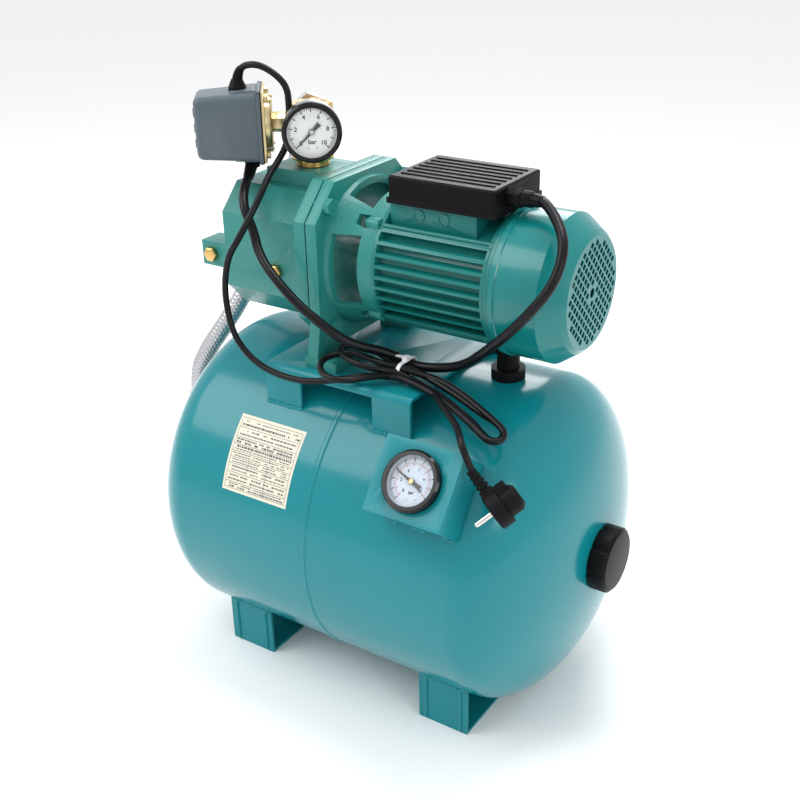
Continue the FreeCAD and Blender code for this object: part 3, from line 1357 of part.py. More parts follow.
def build_plug():
    """The angled supply plug with its ribbed strain relief and two round pins."""
    disc = rod(plug_disc_radius, Vector(-plug_disc_thickness, 0, 0), ORIGIN)
    disc = disc.makeChamfer(1.5, [e for e in disc.Edges if e.Closed and abs(e.CenterOfMass.x) < 0.1])
    back = -plug_disc_thickness - plug_body_length
    body = rod(plug_body_radius, Vector(back, 0, 0), Vector(0.5 - plug_disc_thickness, 0, 0))
    body = body.makeChamfer(4.0, [e for e in body.Edges if e.Closed and e.CenterOfMass.x < back + 0.1])
    axis_x = -0.55 * plug_disc_thickness
    arm = box((back + 5, -2.0), (-plug_disc_radius - 1, 0), (-plug_body_radius + 3, plug_body_radius - 3))
    relief_start = Vector(axis_x, -plug_disc_radius, 0)
    relief = turned([(0, 0), (0, plug_cord_radius + 3.5), (relief_length, plug_cord_radius + 1.2),
                     (relief_length, 0)], relief_start, ACROSS * -1)
    plug = fused([disc, body, arm, relief])
    for step in range(4):
        start = relief_start.sub(ACROSS * (4.0 + step * 5.5))
        ring = rod(plug_cord_radius + 6, start, start.sub(ACROSS * 2.0))
        plug = plug.cut(ring.cut(rod(plug_cord_radius + 1.0, start, start.sub(ACROSS * 2.0))))
    pins = []
    for side in (-1, 1):
        root = Vector(0, 0, side * pin_spacing / 2)
        plug = plug.cut(rod(pin_radius, root.sub(ALONG * 8.0), root))
        pin = rod(pin_radius, root.sub(ALONG * 8.0), root.add(ALONG * pin_length))
        pins.append(pin.makeFillet(1.5, [e for e in pin.Edges if e.Closed and e.CenterOfMass.x > 1.0]))
    frame = plug_frame()
    pair = Part.makeCompound(pins)
    for name, shape in (("plug_body", plug), ("plug_pins", pair)):
        shape.Placement = frame.multiply(shape.Placement)
        save(name, shape)


def main():
    os.makedirs("parts", exist_ok=True)
    envelope = tank_envelope()
    build_tank_shells()
    build_membrane()
    build_counter_flange()
    build_tank_elbow()
    build_air_valve()
    build_feet(envelope)
    build_bracket(envelope)
    build_top_gauge()
    build_tank_gauge(envelope)
    build_nameplate()
    build_casing()
    build_plugs()
    build_gasket()
    build_lantern()
    build_pump_bolts()
    build_hydraulics()
    build_shaft()
    build_motor_frame()
    build_rear_shield()
    build_tie_rods()
    build_fan()
    build_fan_cover()
    build_motor_foot(envelope)
    build_terminal_box()
    build_fitting()
    build_switch()
    build_hose()
    build_power_cable()
    build_plug_cord()
    build_hank()
    build_plug()


main()
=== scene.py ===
"""Looks for the jet pump booster set: finishes, cables, gauges and small parts round the CAD frame."""

import json
import logging
import math
import random
from dataclasses import dataclass, field
from enum import Enum
from typing import Callable, Iterable, Iterator, Optional, Sequence

import bmesh
import bpy
from mathutils import Matrix, Vector


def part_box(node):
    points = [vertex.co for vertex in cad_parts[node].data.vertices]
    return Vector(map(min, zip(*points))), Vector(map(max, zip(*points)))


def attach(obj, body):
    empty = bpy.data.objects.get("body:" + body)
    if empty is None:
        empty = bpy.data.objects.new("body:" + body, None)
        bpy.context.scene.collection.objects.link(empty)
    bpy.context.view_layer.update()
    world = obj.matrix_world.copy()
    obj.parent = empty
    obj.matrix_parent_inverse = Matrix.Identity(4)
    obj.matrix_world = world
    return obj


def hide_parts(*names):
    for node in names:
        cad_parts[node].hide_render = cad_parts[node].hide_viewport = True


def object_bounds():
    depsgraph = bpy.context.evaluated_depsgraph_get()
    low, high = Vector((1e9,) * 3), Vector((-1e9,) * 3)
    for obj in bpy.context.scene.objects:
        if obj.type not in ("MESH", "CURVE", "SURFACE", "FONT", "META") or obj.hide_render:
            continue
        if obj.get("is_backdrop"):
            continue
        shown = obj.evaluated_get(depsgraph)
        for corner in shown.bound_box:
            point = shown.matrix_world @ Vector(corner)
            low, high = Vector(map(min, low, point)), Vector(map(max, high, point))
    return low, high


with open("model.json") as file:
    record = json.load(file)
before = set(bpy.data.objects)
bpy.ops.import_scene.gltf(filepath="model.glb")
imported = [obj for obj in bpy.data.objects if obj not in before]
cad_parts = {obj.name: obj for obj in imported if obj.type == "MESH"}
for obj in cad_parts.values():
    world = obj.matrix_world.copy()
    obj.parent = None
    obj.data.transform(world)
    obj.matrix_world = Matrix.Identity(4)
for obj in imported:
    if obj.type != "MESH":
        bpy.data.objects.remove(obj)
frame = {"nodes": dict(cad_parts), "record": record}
CAD_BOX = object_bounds()

MM = 0.001
ROOT = "set"
Point = tuple[float, float, float]
Placed = tuple[bmesh.types.BMesh, Matrix]
log = logging.getLogger("pump")


# --------------------------------------------------------------------------------------------
# Finishes
# --------------------------------------------------------------------------------------------
class Grain(Enum):
    """The small relief of a surface."""

    PAINT = "paint"
    CAST = "cast"
    MOULDED = "moulded"
    BRUSHED = "brushed"
    BRAID = "braid"
    PLAIN = "plain"


@dataclass(frozen=True)
class Finish:
    """How a surface looks.

    Args:
        name: the material's name.
        colour: its linear base colour.
        rough: its roughness.
        metal: 0 for a dielectric and 1 for a metal.
        coat: the weight of a clear coat.
        grain: the kind of relief.
        depth: the relief's depth, in millimetres.
        shift: how far the colour wanders towards the second tone, from 0 to 1.
        tone: the second tone.
        sheen: the level of the plain reflection that a dielectric has, 0.5 for plain glass.
    """

    name: str
    colour: Point
    rough: float = 0.4
    metal: float = 0.0
    coat: float = 0.0
    grain: Grain = Grain.PLAIN
    depth: float = 0.05
    shift: float = 0.35
    tone: Point = (0.0, 0.0, 0.0)
    sheen: float = 0.5


TEAL = (0.004, 0.215, 0.245)
TEAL_DARK = (0.002, 0.145, 0.17)
TANK_PAINT = Finish("tank_paint", TEAL, 0.2, coat=0.12, grain=Grain.PAINT, depth=0.05, tone=TEAL_DARK,
                    sheen=0.3)
BRACKET_PAINT = Finish("bracket_paint", TEAL, 0.34, coat=0.05, grain=Grain.PAINT, depth=0.08,
                       tone=TEAL_DARK, sheen=0.3)
CAST_PAINT = Finish("cast_paint", (0.02, 0.215, 0.19), 0.34, coat=0.12, grain=Grain.CAST, depth=0.5,
                    tone=(0.008, 0.14, 0.125), sheen=0.35)
MOTOR_PAINT = Finish("motor_paint", (0.006, 0.165, 0.15), 0.3, coat=0.12, sheen=0.35, grain=Grain.CAST,
                     depth=0.12, tone=(0.003, 0.11, 0.10))
COVER_PAINT = Finish("cover_paint", (0.004, 0.18, 0.17), 0.2, coat=0.2, sheen=0.35, grain=Grain.PAINT,
                     depth=0.03, tone=TEAL_DARK)
BLACK_PLASTIC = Finish("black_plastic", (0.004, 0.004, 0.005), 0.36, grain=Grain.MOULDED, depth=0.06,
                       tone=(0.014, 0.013, 0.012), sheen=0.08)
BLACK_GLOSS = Finish("black_gloss", (0.004, 0.004, 0.005), 0.16, coat=0.08, grain=Grain.MOULDED, depth=0.01,
                     sheen=0.25)
CABLE_RUBBER = Finish("cable_rubber", (0.003, 0.003, 0.004), 0.34, grain=Grain.MOULDED, depth=0.04,
                      tone=(0.010, 0.010, 0.010), sheen=0.2)
DARK_RUBBER = Finish("dark_rubber", (0.004, 0.004, 0.005), 0.5, grain=Grain.MOULDED, depth=0.08,
                     tone=(0.012, 0.012, 0.012), sheen=0.1)
BRASS = Finish("brass", (0.70, 0.46, 0.17), 0.27, metal=1.0, grain=Grain.BRUSHED, depth=0.03,
               tone=(0.48, 0.29, 0.10))
YELLOW_ZINC = Finish("yellow_zinc", (0.62, 0.50, 0.24), 0.33, metal=1.0, grain=Grain.BRUSHED, depth=0.02,
                     tone=(0.52, 0.45, 0.40))
ZINC = Finish("zinc", (0.55, 0.55, 0.54), 0.32, metal=1.0, grain=Grain.BRUSHED, depth=0.02,
              tone=(0.35, 0.35, 0.36))
STEEL = Finish("steel", (0.50, 0.50, 0.51), 0.28, metal=1.0, grain=Grain.BRUSHED, depth=0.02,
               tone=(0.3, 0.3, 0.31))
NICKEL = Finish("nickel", (0.68, 0.66, 0.62), 0.18, metal=1.0, grain=Grain.BRUSHED, depth=0.01,
                tone=(0.5, 0.48, 0.45))
COPPER = Finish("copper", (0.5, 0.18, 0.08), 0.35, metal=1.0, grain=Grain.BRUSHED, depth=0.05,
                tone=(0.3, 0.1, 0.05))
BRAID = Finish("braid", (0.52, 0.52, 0.53), 0.34, metal=0.9, grain=Grain.BRAID, depth=0.5,
               tone=(0.16, 0.16, 0.17))
SWITCH_GREY = Finish("switch_grey", (0.085, 0.112, 0.128), 0.33, coat=0.05, grain=Grain.MOULDED, depth=0.06,
                     tone=(0.062, 0.084, 0.098), sheen=0.3)
DIAL_WHITE = Finish("dial_white", (0.78, 0.79, 0.79), 0.5, grain=Grain.PAINT, depth=0.0, shift=0.1,
                    tone=(0.6, 0.62, 0.64))
DIAL_BLUE = Finish("dial_blue", (0.52, 0.60, 0.70), 0.5, grain=Grain.PAINT, depth=0.0, shift=0.25,
                   tone=(0.36, 0.44, 0.56))
INK_BLACK = Finish("ink_black", (0.004, 0.004, 0.005), 0.6, sheen=0.1)
INK_RED = Finish("ink_red", (0.42, 0.03, 0.03), 0.5)
LABEL_PAPER = Finish("label_paper", (0.70, 0.67, 0.54), 0.42, grain=Grain.MOULDED, depth=0.01, shift=0.2,
                     tone=(0.6, 0.57, 0.45))
INK_GREY = Finish("ink_grey", (0.10, 0.10, 0.11), 0.6)
TIE_WHITE = Finish("tie_white", (0.72, 0.73, 0.75), 0.3, grain=Grain.MOULDED, depth=0.02, shift=0.1,
                   tone=(0.5, 0.5, 0.52))
CERAMIC = Finish("ceramic_ring", (0.6, 0.58, 0.52), 0.2, tone=(0.5, 0.48, 0.45))


class NodeGroups:
    """The shader groups that the finishes share."""

    cloud_scale = 9.0
    cloud_detail = 5.0
    fine_scale = 160.0
    roughness_spread = 0.10
    relief_detail = 3.0
    relief_scales = {Grain.PAINT: 55.0, Grain.CAST: 420.0, Grain.MOULDED: 900.0, Grain.PLAIN: 20.0}
    brush_stretch = (60.0, 60.0, 900.0)
    braid_slant = 0.61
    braid_bands = 75.0

    def __init__(self) -> None:
        """Build every group once."""
        self.relief = {grain: self._relief(grain) for grain in Grain}
        self.tones = self._tones()

    @staticmethod
    def _new(name: str, inputs: Sequence[tuple[str, str]], outputs: Sequence[tuple[str, str]]
             ) -> tuple[bpy.types.NodeTree, bpy.types.Node, bpy.types.Node]:
        """Make an empty group with the given sockets.

        Args:
            name: the group's name.
            inputs: socket names and types.
            outputs: socket names and types.

        Returns:
            The tree, its input node and its output node.
        """
        tree = bpy.data.node_groups.new(name, "ShaderNodeTree")
        for label, kind in inputs:
            tree.interface.new_socket(name=label, in_out="INPUT", socket_type=kind)
        for label, kind in outputs:
            tree.interface.new_socket(name=label, in_out="OUTPUT", socket_type=kind)
        return tree, tree.nodes.new("NodeGroupInput"), tree.nodes.new("NodeGroupOutput")

    def _tones(self) -> bpy.types.NodeTree:
        """Two tones mixed by a soft cloudy pattern, with the roughness wandering along.

        Returns:
            The group.
        """
        tree, source, result = self._new(
            "tones",
            [("Vector", "NodeSocketVector"), ("Colour", "NodeSocketColor"), ("Tone", "NodeSocketColor"),
             ("Shift", "NodeSocketFloat"), ("Roughness", "NodeSocketFloat")],
            [("Colour", "NodeSocketColor"), ("Roughness", "NodeSocketFloat")])
        cloud = tree.nodes.new("ShaderNodeTexNoise")
        cloud.inputs["Scale"].default_value = self.cloud_scale
        cloud.inputs["Detail"].default_value = self.cloud_detail
        fine = tree.nodes.new("ShaderNodeTexNoise")
        fine.inputs["Scale"].default_value = self.fine_scale
        amount = tree.nodes.new("ShaderNodeMath")
        amount.operation = "MULTIPLY"
        mix = tree.nodes.new("ShaderNodeMix")
        mix.data_type = "RGBA"
        spread = tree.nodes.new("ShaderNodeMath")
        spread.operation = "MULTIPLY_ADD"
        spread.inputs[1].default_value = self.roughness_spread
        centre = tree.nodes.new("ShaderNodeMath")
        centre.operation = "SUBTRACT"
        centre.inputs[1].default_value = self.roughness_spread / 2
        link = tree.links.new
        link(source.outputs["Vector"], cloud.inputs["Vector"])
        link(source.outputs["Vector"], fine.inputs["Vector"])
        link(cloud.outputs["Fac"], amount.inputs[0])
        link(source.outputs["Shift"], amount.inputs[1])
        link(amount.outputs[0], mix.inputs["Factor"])
        link(source.outputs["Colour"], mix.inputs["A"])
        link(source.outputs["Tone"], mix.inputs["B"])
        link(mix.outputs["Result"], result.inputs["Colour"])
        link(fine.outputs["Fac"], spread.inputs[0])
        link(source.outputs["Roughness"], centre.inputs[0])
        link(centre.outputs[0], spread.inputs[2])
        link(spread.outputs[0], result.inputs["Roughness"])
        return tree

    def _relief(self, grain: Grain) -> bpy.types.NodeTree:
        """A height pattern for one kind of grain.

        Args:
            grain: the kind of relief.

        Returns:
            The group.
        """
        tree, source, result = self._new(
            "relief_" + grain.value, [("Vector", "NodeSocketVector")], [("Height", "NodeSocketFloat")])
        link = tree.links.new
        noise = tree.nodes.new("ShaderNodeTexNoise")
        noise.inputs["Detail"].default_value = self.relief_detail
        height = noise.outputs["Fac"]
        if grain is Grain.BRUSHED:
            stretch = tree.nodes.new("ShaderNodeMapping")
            stretch.inputs["Scale"].default_value = self.brush_stretch
            link(source.outputs["Vector"], stretch.inputs["Vector"])
            link(stretch.outputs["Vector"], noise.inputs["Vector"])
            noise.inputs["Scale"].default_value = 1.0
        elif grain is Grain.BRAID:
            waves = [self._wave(tree, source.outputs["Vector"], slant)
                     for slant in (self.braid_slant, -self.braid_slant)]
            weave = tree.nodes.new("ShaderNodeMath")
            weave.operation = "MAXIMUM"
            link(waves[0], weave.inputs[0])
            link(waves[1], weave.inputs[1])
            height = weave.outputs[0]
        else:
            noise.inputs["Scale"].default_value = self.relief_scales[grain]
            link(source.outputs["Vector"], noise.inputs["Vector"])
        link(height, result.inputs["Height"])
        return tree

    def _wave(self, tree: bpy.types.NodeTree, vector: bpy.types.NodeSocket,
              slant: float) -> bpy.types.NodeSocket:
        """One family of a braid's slanted strands, from the tube's own unrolled map.

        Args:
            tree: the group to add to.
            vector: the socket of the unrolled map.
            slant: the strands' slant, in radians.

        Returns:
            The socket of the strands' height.
        """
        turned = tree.nodes.new("ShaderNodeMapping")
        turned.inputs["Rotation"].default_value = (0.0, 0.0, slant)
        tree.links.new(vector, turned.inputs["Vector"])
        wave = tree.nodes.new("ShaderNodeTexWave")
        wave.bands_direction = "X"
        wave.inputs["Scale"].default_value = self.braid_bands
        tree.links.new(turned.outputs["Vector"], wave.inputs["Vector"])
        return wave.outputs["Fac"]


class MaterialShelf:
    """Builds each finish once and hands it out."""

    coat_roughness = 0.06
    least_depth = 0.001

    def __init__(self) -> None:
        """Build the shared groups and start with an empty shelf."""
        self.groups = NodeGroups()
        self.made: dict[str, bpy.types.Material] = {}

    def get(self, finish: Finish) -> bpy.types.Material:
        """The material of a finish.

        Args:
            finish: the finish to look up.

        Returns:
            Its material, built on first use.
        """
        if finish.name not in self.made:
            self.made[finish.name] = self._build(finish)
        return self.made[finish.name]

    def _build(self, finish: Finish) -> bpy.types.Material:
        """Make the material of a finish.

        Args:
            finish: the finish.

        Returns:
            The new material.
        """
        material = bpy.data.materials.new(finish.name)
        material.use_nodes = True
        tree = material.node_tree
        shader = tree.nodes["Principled BSDF"]
        shader.inputs["Metallic"].default_value = finish.metal
        shader.inputs["Coat Weight"].default_value = finish.coat
        shader.inputs["Coat Roughness"].default_value = self.coat_roughness
        shader.inputs["Specular IOR Level"].default_value = finish.sheen
        place = tree.nodes.new("ShaderNodeTexCoord")
        vector = place.outputs["UV" if finish.grain is Grain.BRAID else "Object"]
        tones = tree.nodes.new("ShaderNodeGroup")
        tones.node_tree = self.groups.tones
        tones.inputs["Colour"].default_value = (*finish.colour, 1.0)
        tones.inputs["Tone"].default_value = (*finish.tone, 1.0)
        tones.inputs["Shift"].default_value = finish.shift
        tones.inputs["Roughness"].default_value = finish.rough
        relief = tree.nodes.new("ShaderNodeGroup")
        relief.node_tree = self.groups.relief[finish.grain]
        bump = tree.nodes.new("ShaderNodeBump")
        bump.inputs["Distance"].default_value = max(finish.depth, self.least_depth) * MM
        bump.inputs["Strength"].default_value = 1.0 if finish.depth else 0.0
        link = tree.links.new
        link(vector, tones.inputs["Vector"])
        link(vector, relief.inputs["Vector"])
        link(tones.outputs["Colour"], shader.inputs["Base Color"])
        link(tones.outputs["Roughness"], shader.inputs["Roughness"])
        link(relief.outputs["Height"], bump.inputs["Height"])
        link(bump.outputs["Normal"], shader.inputs["Normal"])
        return material

    def glass(self) -> bpy.types.Material:
        """Clear gauge glass, with plain values.

        Returns:
            The material, built on first use.
        """
        if "gauge_glass" not in self.made:
            material = bpy.data.materials.new("gauge_glass")
            material.use_nodes = True
            shader = material.node_tree.nodes["Principled BSDF"]
            shader.inputs["Base Color"].default_value = (1.0, 1.0, 1.0, 1.0)
            shader.inputs["Roughness"].default_value = 0.03
            shader.inputs["Alpha"].default_value = 0.05
            self.made["gauge_glass"] = material
        return self.made["gauge_glass"]


# --------------------------------------------------------------------------------------------
# Mesh helpers
# --------------------------------------------------------------------------------------------
@dataclass
class Workshop:
    """Makes pieces, gives them a finish and puts them on their bodies."""

    shelf: MaterialShelf = field(default_factory=MaterialShelf)

    def dress(self, node: str, finish: Finish) -> None:
        """Give a CAD node a finish.

        Args:
            node: the node's name.
            finish: its finish.
        """
        piece = frame["nodes"][node]
        piece.data.materials.clear()
        piece.data.materials.append(self.shelf.get(finish))
        log.info("%s is finished in %s", node, finish.name)

    def place(self, name: str, shape: bmesh.types.BMesh, finish: Finish, body: str = ROOT,
              stands_for: Iterable[str] = (), slot: Optional[str] = None,
              soften: float = 35.0) -> bpy.types.Object:
        """Turn a bmesh into a piece.

        Args:
            name: the piece's name.
            shape: its mesh, which is freed.
            finish: its finish.
            body: the body that it rides on.
            stands_for: the CAD nodes that it replaces.
            slot: the record's material slot, which is not used.
            soften: the largest angle between faces that is shaded smooth, in degrees.

        Returns:
            The new object.
        """
        bmesh.ops.recalc_face_normals(shape, faces=shape.faces[:])
        mesh = bpy.data.meshes.new(name)
        shape.to_mesh(mesh)
        shape.free()
        mesh.materials.append(self.shelf.get(finish))
        mesh.polygons.foreach_set("use_smooth", [True] * len(mesh.polygons))
        mesh.set_sharp_from_angle(angle=math.radians(soften))
        piece = bpy.data.objects.new(name, mesh)
        bpy.context.scene.collection.objects.link(piece)
        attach(piece, body)
        for node in stands_for:
            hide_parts(node)
        log.info("%s is made and rides on %s", name, body)
        return piece

    def rounded(self, node: str, finish: Finish, radius: float, body: str = ROOT, steps: int = 2) -> None:
        """Stand in for a hard CAD node with the same shape and its sharp edges rounded.

        Args:
            node: the node's name.
            finish: its finish.
            radius: the width of the rounding, in millimetres.
            body: the body that it rides on.
            steps: the number of faces across the rounding.
        """
        shape = bmesh.new()
        shape.from_mesh(frame["nodes"][node].data)
        bmesh.ops.remove_doubles(shape, verts=shape.verts[:], dist=1e-6)
        bmesh.ops.dissolve_limit(shape, angle_limit=math.radians(0.6), verts=shape.verts[:],
                                 edges=shape.edges[:])
        sharp = [edge for edge in shape.edges
                 if edge.is_manifold and edge.calc_face_angle(0.0) > math.radians(28)]
        bmesh.ops.bevel(shape, geom=sharp, offset=radius * MM, offset_type="OFFSET", segments=steps,
                        profile=0.5, affect="EDGES", clamp_overlap=True, material=-1)
        slots = {entry["node"]: entry["material_slot"] for entry in frame["record"]["subparts"]}
        self.place(node + "_rounded", shape, finish, body, [node], slots[node], soften=28.0)


def lathe(outline: Sequence[tuple[float, float]], steps: int = 48) -> bmesh.types.BMesh:
    """Turn an outline of (height, radius) pairs, in millimetres, about the Z axis.

    Args:
        outline: the profile, from one end of the axis to the other.
        steps: the number of facets round.

    Returns:
        A closed mesh standing on the Z axis.
    """
    shape = bmesh.new()
    verts = [shape.verts.new((radius * MM, 0.0, height * MM)) for height, radius in outline]
    edges = [shape.edges.new(pair) for pair in zip(verts, verts[1:])]
    bmesh.ops.spin(shape, geom=verts + edges, cent=(0, 0, 0), axis=(0, 0, 1), dvec=(0, 0, 0),
                   angle=math.tau, steps=steps, use_merge=True, use_duplicate=False)
    bmesh.ops.remove_doubles(shape, verts=shape.verts[:], dist=1e-7)
    return shape


def block(size: Point, bevel: float = 0.0, steps: int = 2) -> bmesh.types.BMesh:
    """A box centred on the origin with rounded edges, in millimetres.

    Args:
        size: its three sides.
        bevel: the width of the rounding, or 0 for sharp edges.
        steps: the number of faces across the rounding.

    Returns:
        The box.
    """
    shape = bmesh.new()
    bmesh.ops.create_cube(shape, size=1.0, matrix=Matrix.Diagonal((*[side * MM for side in size], 1.0)))
    if bevel:
        bmesh.ops.bevel(shape, geom=shape.edges[:], offset=bevel * MM, offset_type="OFFSET",
                        segments=steps, profile=0.5, affect="EDGES", clamp_overlap=True, material=-1)
    return shape


def merged(parts: Iterable[Placed]) -> bmesh.types.BMesh:
    """Gather placed meshes into one, freeing them.

    Args:
        parts: each mesh with its place.

    Returns:
        The one mesh.
    """
    whole = bmesh.new()
    for part, matrix in parts:
        part.transform(matrix)
        mesh = bpy.data.meshes.new("scratch")
        part.to_mesh(mesh)
        part.free()
        whole.from_mesh(mesh)
        bpy.data.meshes.remove(mesh)
    return whole


def shift(x: float, y: float, z: float) -> Matrix:
    """A move in millimetres."""
    return Matrix.Translation((x * MM, y * MM, z * MM))


def turn(degrees: float, axis: str) -> Matrix:
    """A turn about one of the axes."""
    return Matrix.Rotation(math.radians(degrees), 4, axis)


def joint_place(name: str) -> Vector:
    """The place of a joint, in metres."""
    joints = {joint["name"]: joint for joint in frame["record"]["behaviour"]["joints"]}
    return Vector(joints[name]["pos_m"])


def centre_mm(node: str) -> Vector:
    """The middle of a CAD node's box, in millimetres."""
    low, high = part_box(node)
    return (Vector(low) + Vector(high)) / 2 / MM


# --------------------------------------------------------------------------------------------
# Camera and light
# --------------------------------------------------------------------------------------------
@dataclass
class Studio:
    """The camera, the floor and the light."""

    target: Point = (0.0049, 0.0, 0.3190)
    azimuth: float = 33.8
    elevation: float = 26.1
    distance: float = 1.3122
    roll: float = -1.3
    lens: float = 52.0
    sensor: float = 36.0
    lights_aim: Point = (0.0, 0.0, 0.32)
    sky: tuple[float, float, float, float] = (0.97, 0.985, 1.0, 1.0)
    sky_strength: float = 0.92
    floor_colour: tuple[float, float, float, float] = (0.97, 0.97, 0.97, 1.0)
    floor_reach: float = 6.0

    def build(self) -> None:
        """Make the camera, the lights, the world and the floor."""
        bpy.context.scene.view_settings.view_transform = "Standard"
        self._camera()
        self._world()
        self._light("key", (-1.3, -1.1, 1.9), 1.6, 24.0)
        self._light("fill", (1.9, -0.7, 1.1), 0.8, 8.0)
        self._light("top", (0.1, 0.4, 2.2), 1.0, 22.0)
        self._light("back", (-0.7, 1.6, 1.4), 1.0, 12.0)
        self._floor()

    def _camera(self) -> None:
        """Stand the camera off the target and make it the scene's own."""
        az, el = math.radians(self.azimuth), math.radians(self.elevation)
        away = Vector((math.sin(az) * math.cos(el), -math.cos(az) * math.cos(el), math.sin(el)))
        data = bpy.data.cameras.new("camera")
        data.lens = self.lens
        data.sensor_width = self.sensor
        camera = bpy.data.objects.new("camera", data)
        bpy.context.scene.collection.objects.link(camera)
        look = (-away).to_track_quat("-Z", "Y").to_matrix().to_4x4()
        camera.matrix_world = (Matrix.Translation(Vector(self.target) + away * self.distance)
                               @ look @ turn(self.roll, "Z"))
        bpy.context.scene.camera = camera

    def _light(self, name: str, place: Point, size: float, power: float) -> None:
        """Add a round soft light that faces the object.

        Args:
            name: the light's name.
            place: where it stands, in metres.
            size: its diameter, in metres.
            power: its power, in watts.
        """
        data = bpy.data.lights.new(name, "AREA")
        data.shape = "DISK"
        data.size = size
        data.energy = power
        lamp = bpy.data.objects.new(name, data)
        aim = Vector(self.lights_aim) - Vector(place)
        lamp.matrix_world = Matrix.Translation(place) @ aim.to_track_quat("-Z", "Y").to_matrix().to_4x4()
        bpy.context.scene.collection.objects.link(lamp)

    def _world(self) -> None:
        """Fill the room with even pale light."""
        world = bpy.data.worlds.new("studio")
        world.use_nodes = True
        background = world.node_tree.nodes["Background"]
        background.inputs["Color"].default_value = self.sky
        background.inputs["Strength"].default_value = self.sky_strength
        bpy.context.scene.world = world

    def _floor(self) -> None:
        """Lay the plain pale floor."""
        shape = bmesh.new()
        bmesh.ops.create_grid(shape, x_segments=1, y_segments=1, size=self.floor_reach)
        mesh = bpy.data.meshes.new("floor")
        shape.to_mesh(mesh)
        shape.free()
        material = bpy.data.materials.new("floor")
        material.use_nodes = True
        shader = material.node_tree.nodes["Principled BSDF"]
        shader.inputs["Base Color"].default_value = self.floor_colour
        shader.inputs["Roughness"].default_value = 0.7
        mesh.materials.append(material)
        floor = bpy.data.objects.new("floor", mesh)
        bpy.context.scene.collection.objects.link(floor)
        floor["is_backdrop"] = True


# --------------------------------------------------------------------------------------------
# Cables and hose
# --------------------------------------------------------------------------------------------
def spline(name: str, route: Sequence[Point], bevel: float = 0.0) -> bpy.types.Object:
    """One open NURBS curve through a route given in millimetres.

    Args:
        name: the curve's name.
        route: its control points.
        bevel: the radius of its round section, in millimetres.

    Returns:
        The curve object, linked to the scene.
    """
    curve = bpy.data.curves.new(name, "CURVE")
    curve.dimensions = "3D"
    curve.resolution_u = 10
    curve.bevel_depth = bevel * MM
    curve.bevel_resolution = 5
    curve.use_fill_caps = True
    line = curve.splines.new("NURBS")
    line.points.add(len(route) - 1)
    for point, place in zip(line.points, route):
        point.co = (*[value * MM for value in place], 1.0)
    line.order_u = 3
    line.use_endpoint_u = True
    piece = bpy.data.objects.new(name, curve)
    bpy.context.scene.collection.objects.link(piece)
    return piece


def spline_points(route: Sequence[Point]) -> list[Vector]:
    """Points read along the route's own smooth curve, in metres.

    Args:
        route: the curve's control points, in millimetres.

    Returns:
        The points, from its start to its end.
    """
    ghost = spline("ghost", route)
    graph = bpy.context.evaluated_depsgraph_get()
    mesh = bpy.data.meshes.new_from_object(ghost.evaluated_get(graph))
    points = [vertex.co.copy() for vertex in mesh.vertices]
    bpy.data.meshes.remove(mesh)
    bpy.data.objects.remove(ghost)
    return points


def tube_mesh(points: Sequence[Vector], radius: float, sides: int = 28,
              end_radius: Optional[float] = None) -> bmesh.types.BMesh:
    """A closed tube along points, with a map of its length and girth in metres.

    Args:
        points: the middle line, in metres.
        radius: the tube's radius, in millimetres.
        sides: the number of facets round.
        end_radius: its radius at the last point, where it tapers.

    Returns:
        The tube's mesh.
    """
    shape = bmesh.new()
    layer = shape.loops.layers.uv.new("unrolled")
    side = Vector((0.0, 0.0, 1.0)).cross(points[1] - points[0]).normalized()
    rings, stations = [], [0.0]
    for index, point in enumerate(points):
        ahead = points[min(index + 1, len(points) - 1)] - points[max(index - 1, 0)]
        side = (side - ahead.normalized() * side.dot(ahead.normalized())).normalized()
        other = ahead.normalized().cross(side)
        angles = [math.tau * step / sides for step in range(sides)]
        share = index / (len(points) - 1)
        reach = radius + ((end_radius or radius) - radius) * share
        rings.append([shape.verts.new(point + (side * math.cos(a) + other * math.sin(a)) * reach * MM)
                      for a in angles])
        if index:
            stations.append(stations[-1] + (point - points[index - 1]).length)
    girth = math.tau * radius * MM / sides
    for row, (low, high) in enumerate(zip(rings, rings[1:])):
        for step in range(sides):
            after = (step + 1) % sides
            face = shape.faces.new((low[step], low[after], high[after], high[step]))
            corners = ((row, step), (row, step + 1), (row + 1, step + 1), (row + 1, step))
            for loop, (station, place) in zip(face.loops, corners):
                loop[layer].uv = (stations[station], place * girth)
    shape.faces.new(list(reversed(rings[0])))
    shape.faces.new(rings[-1])
    return shape


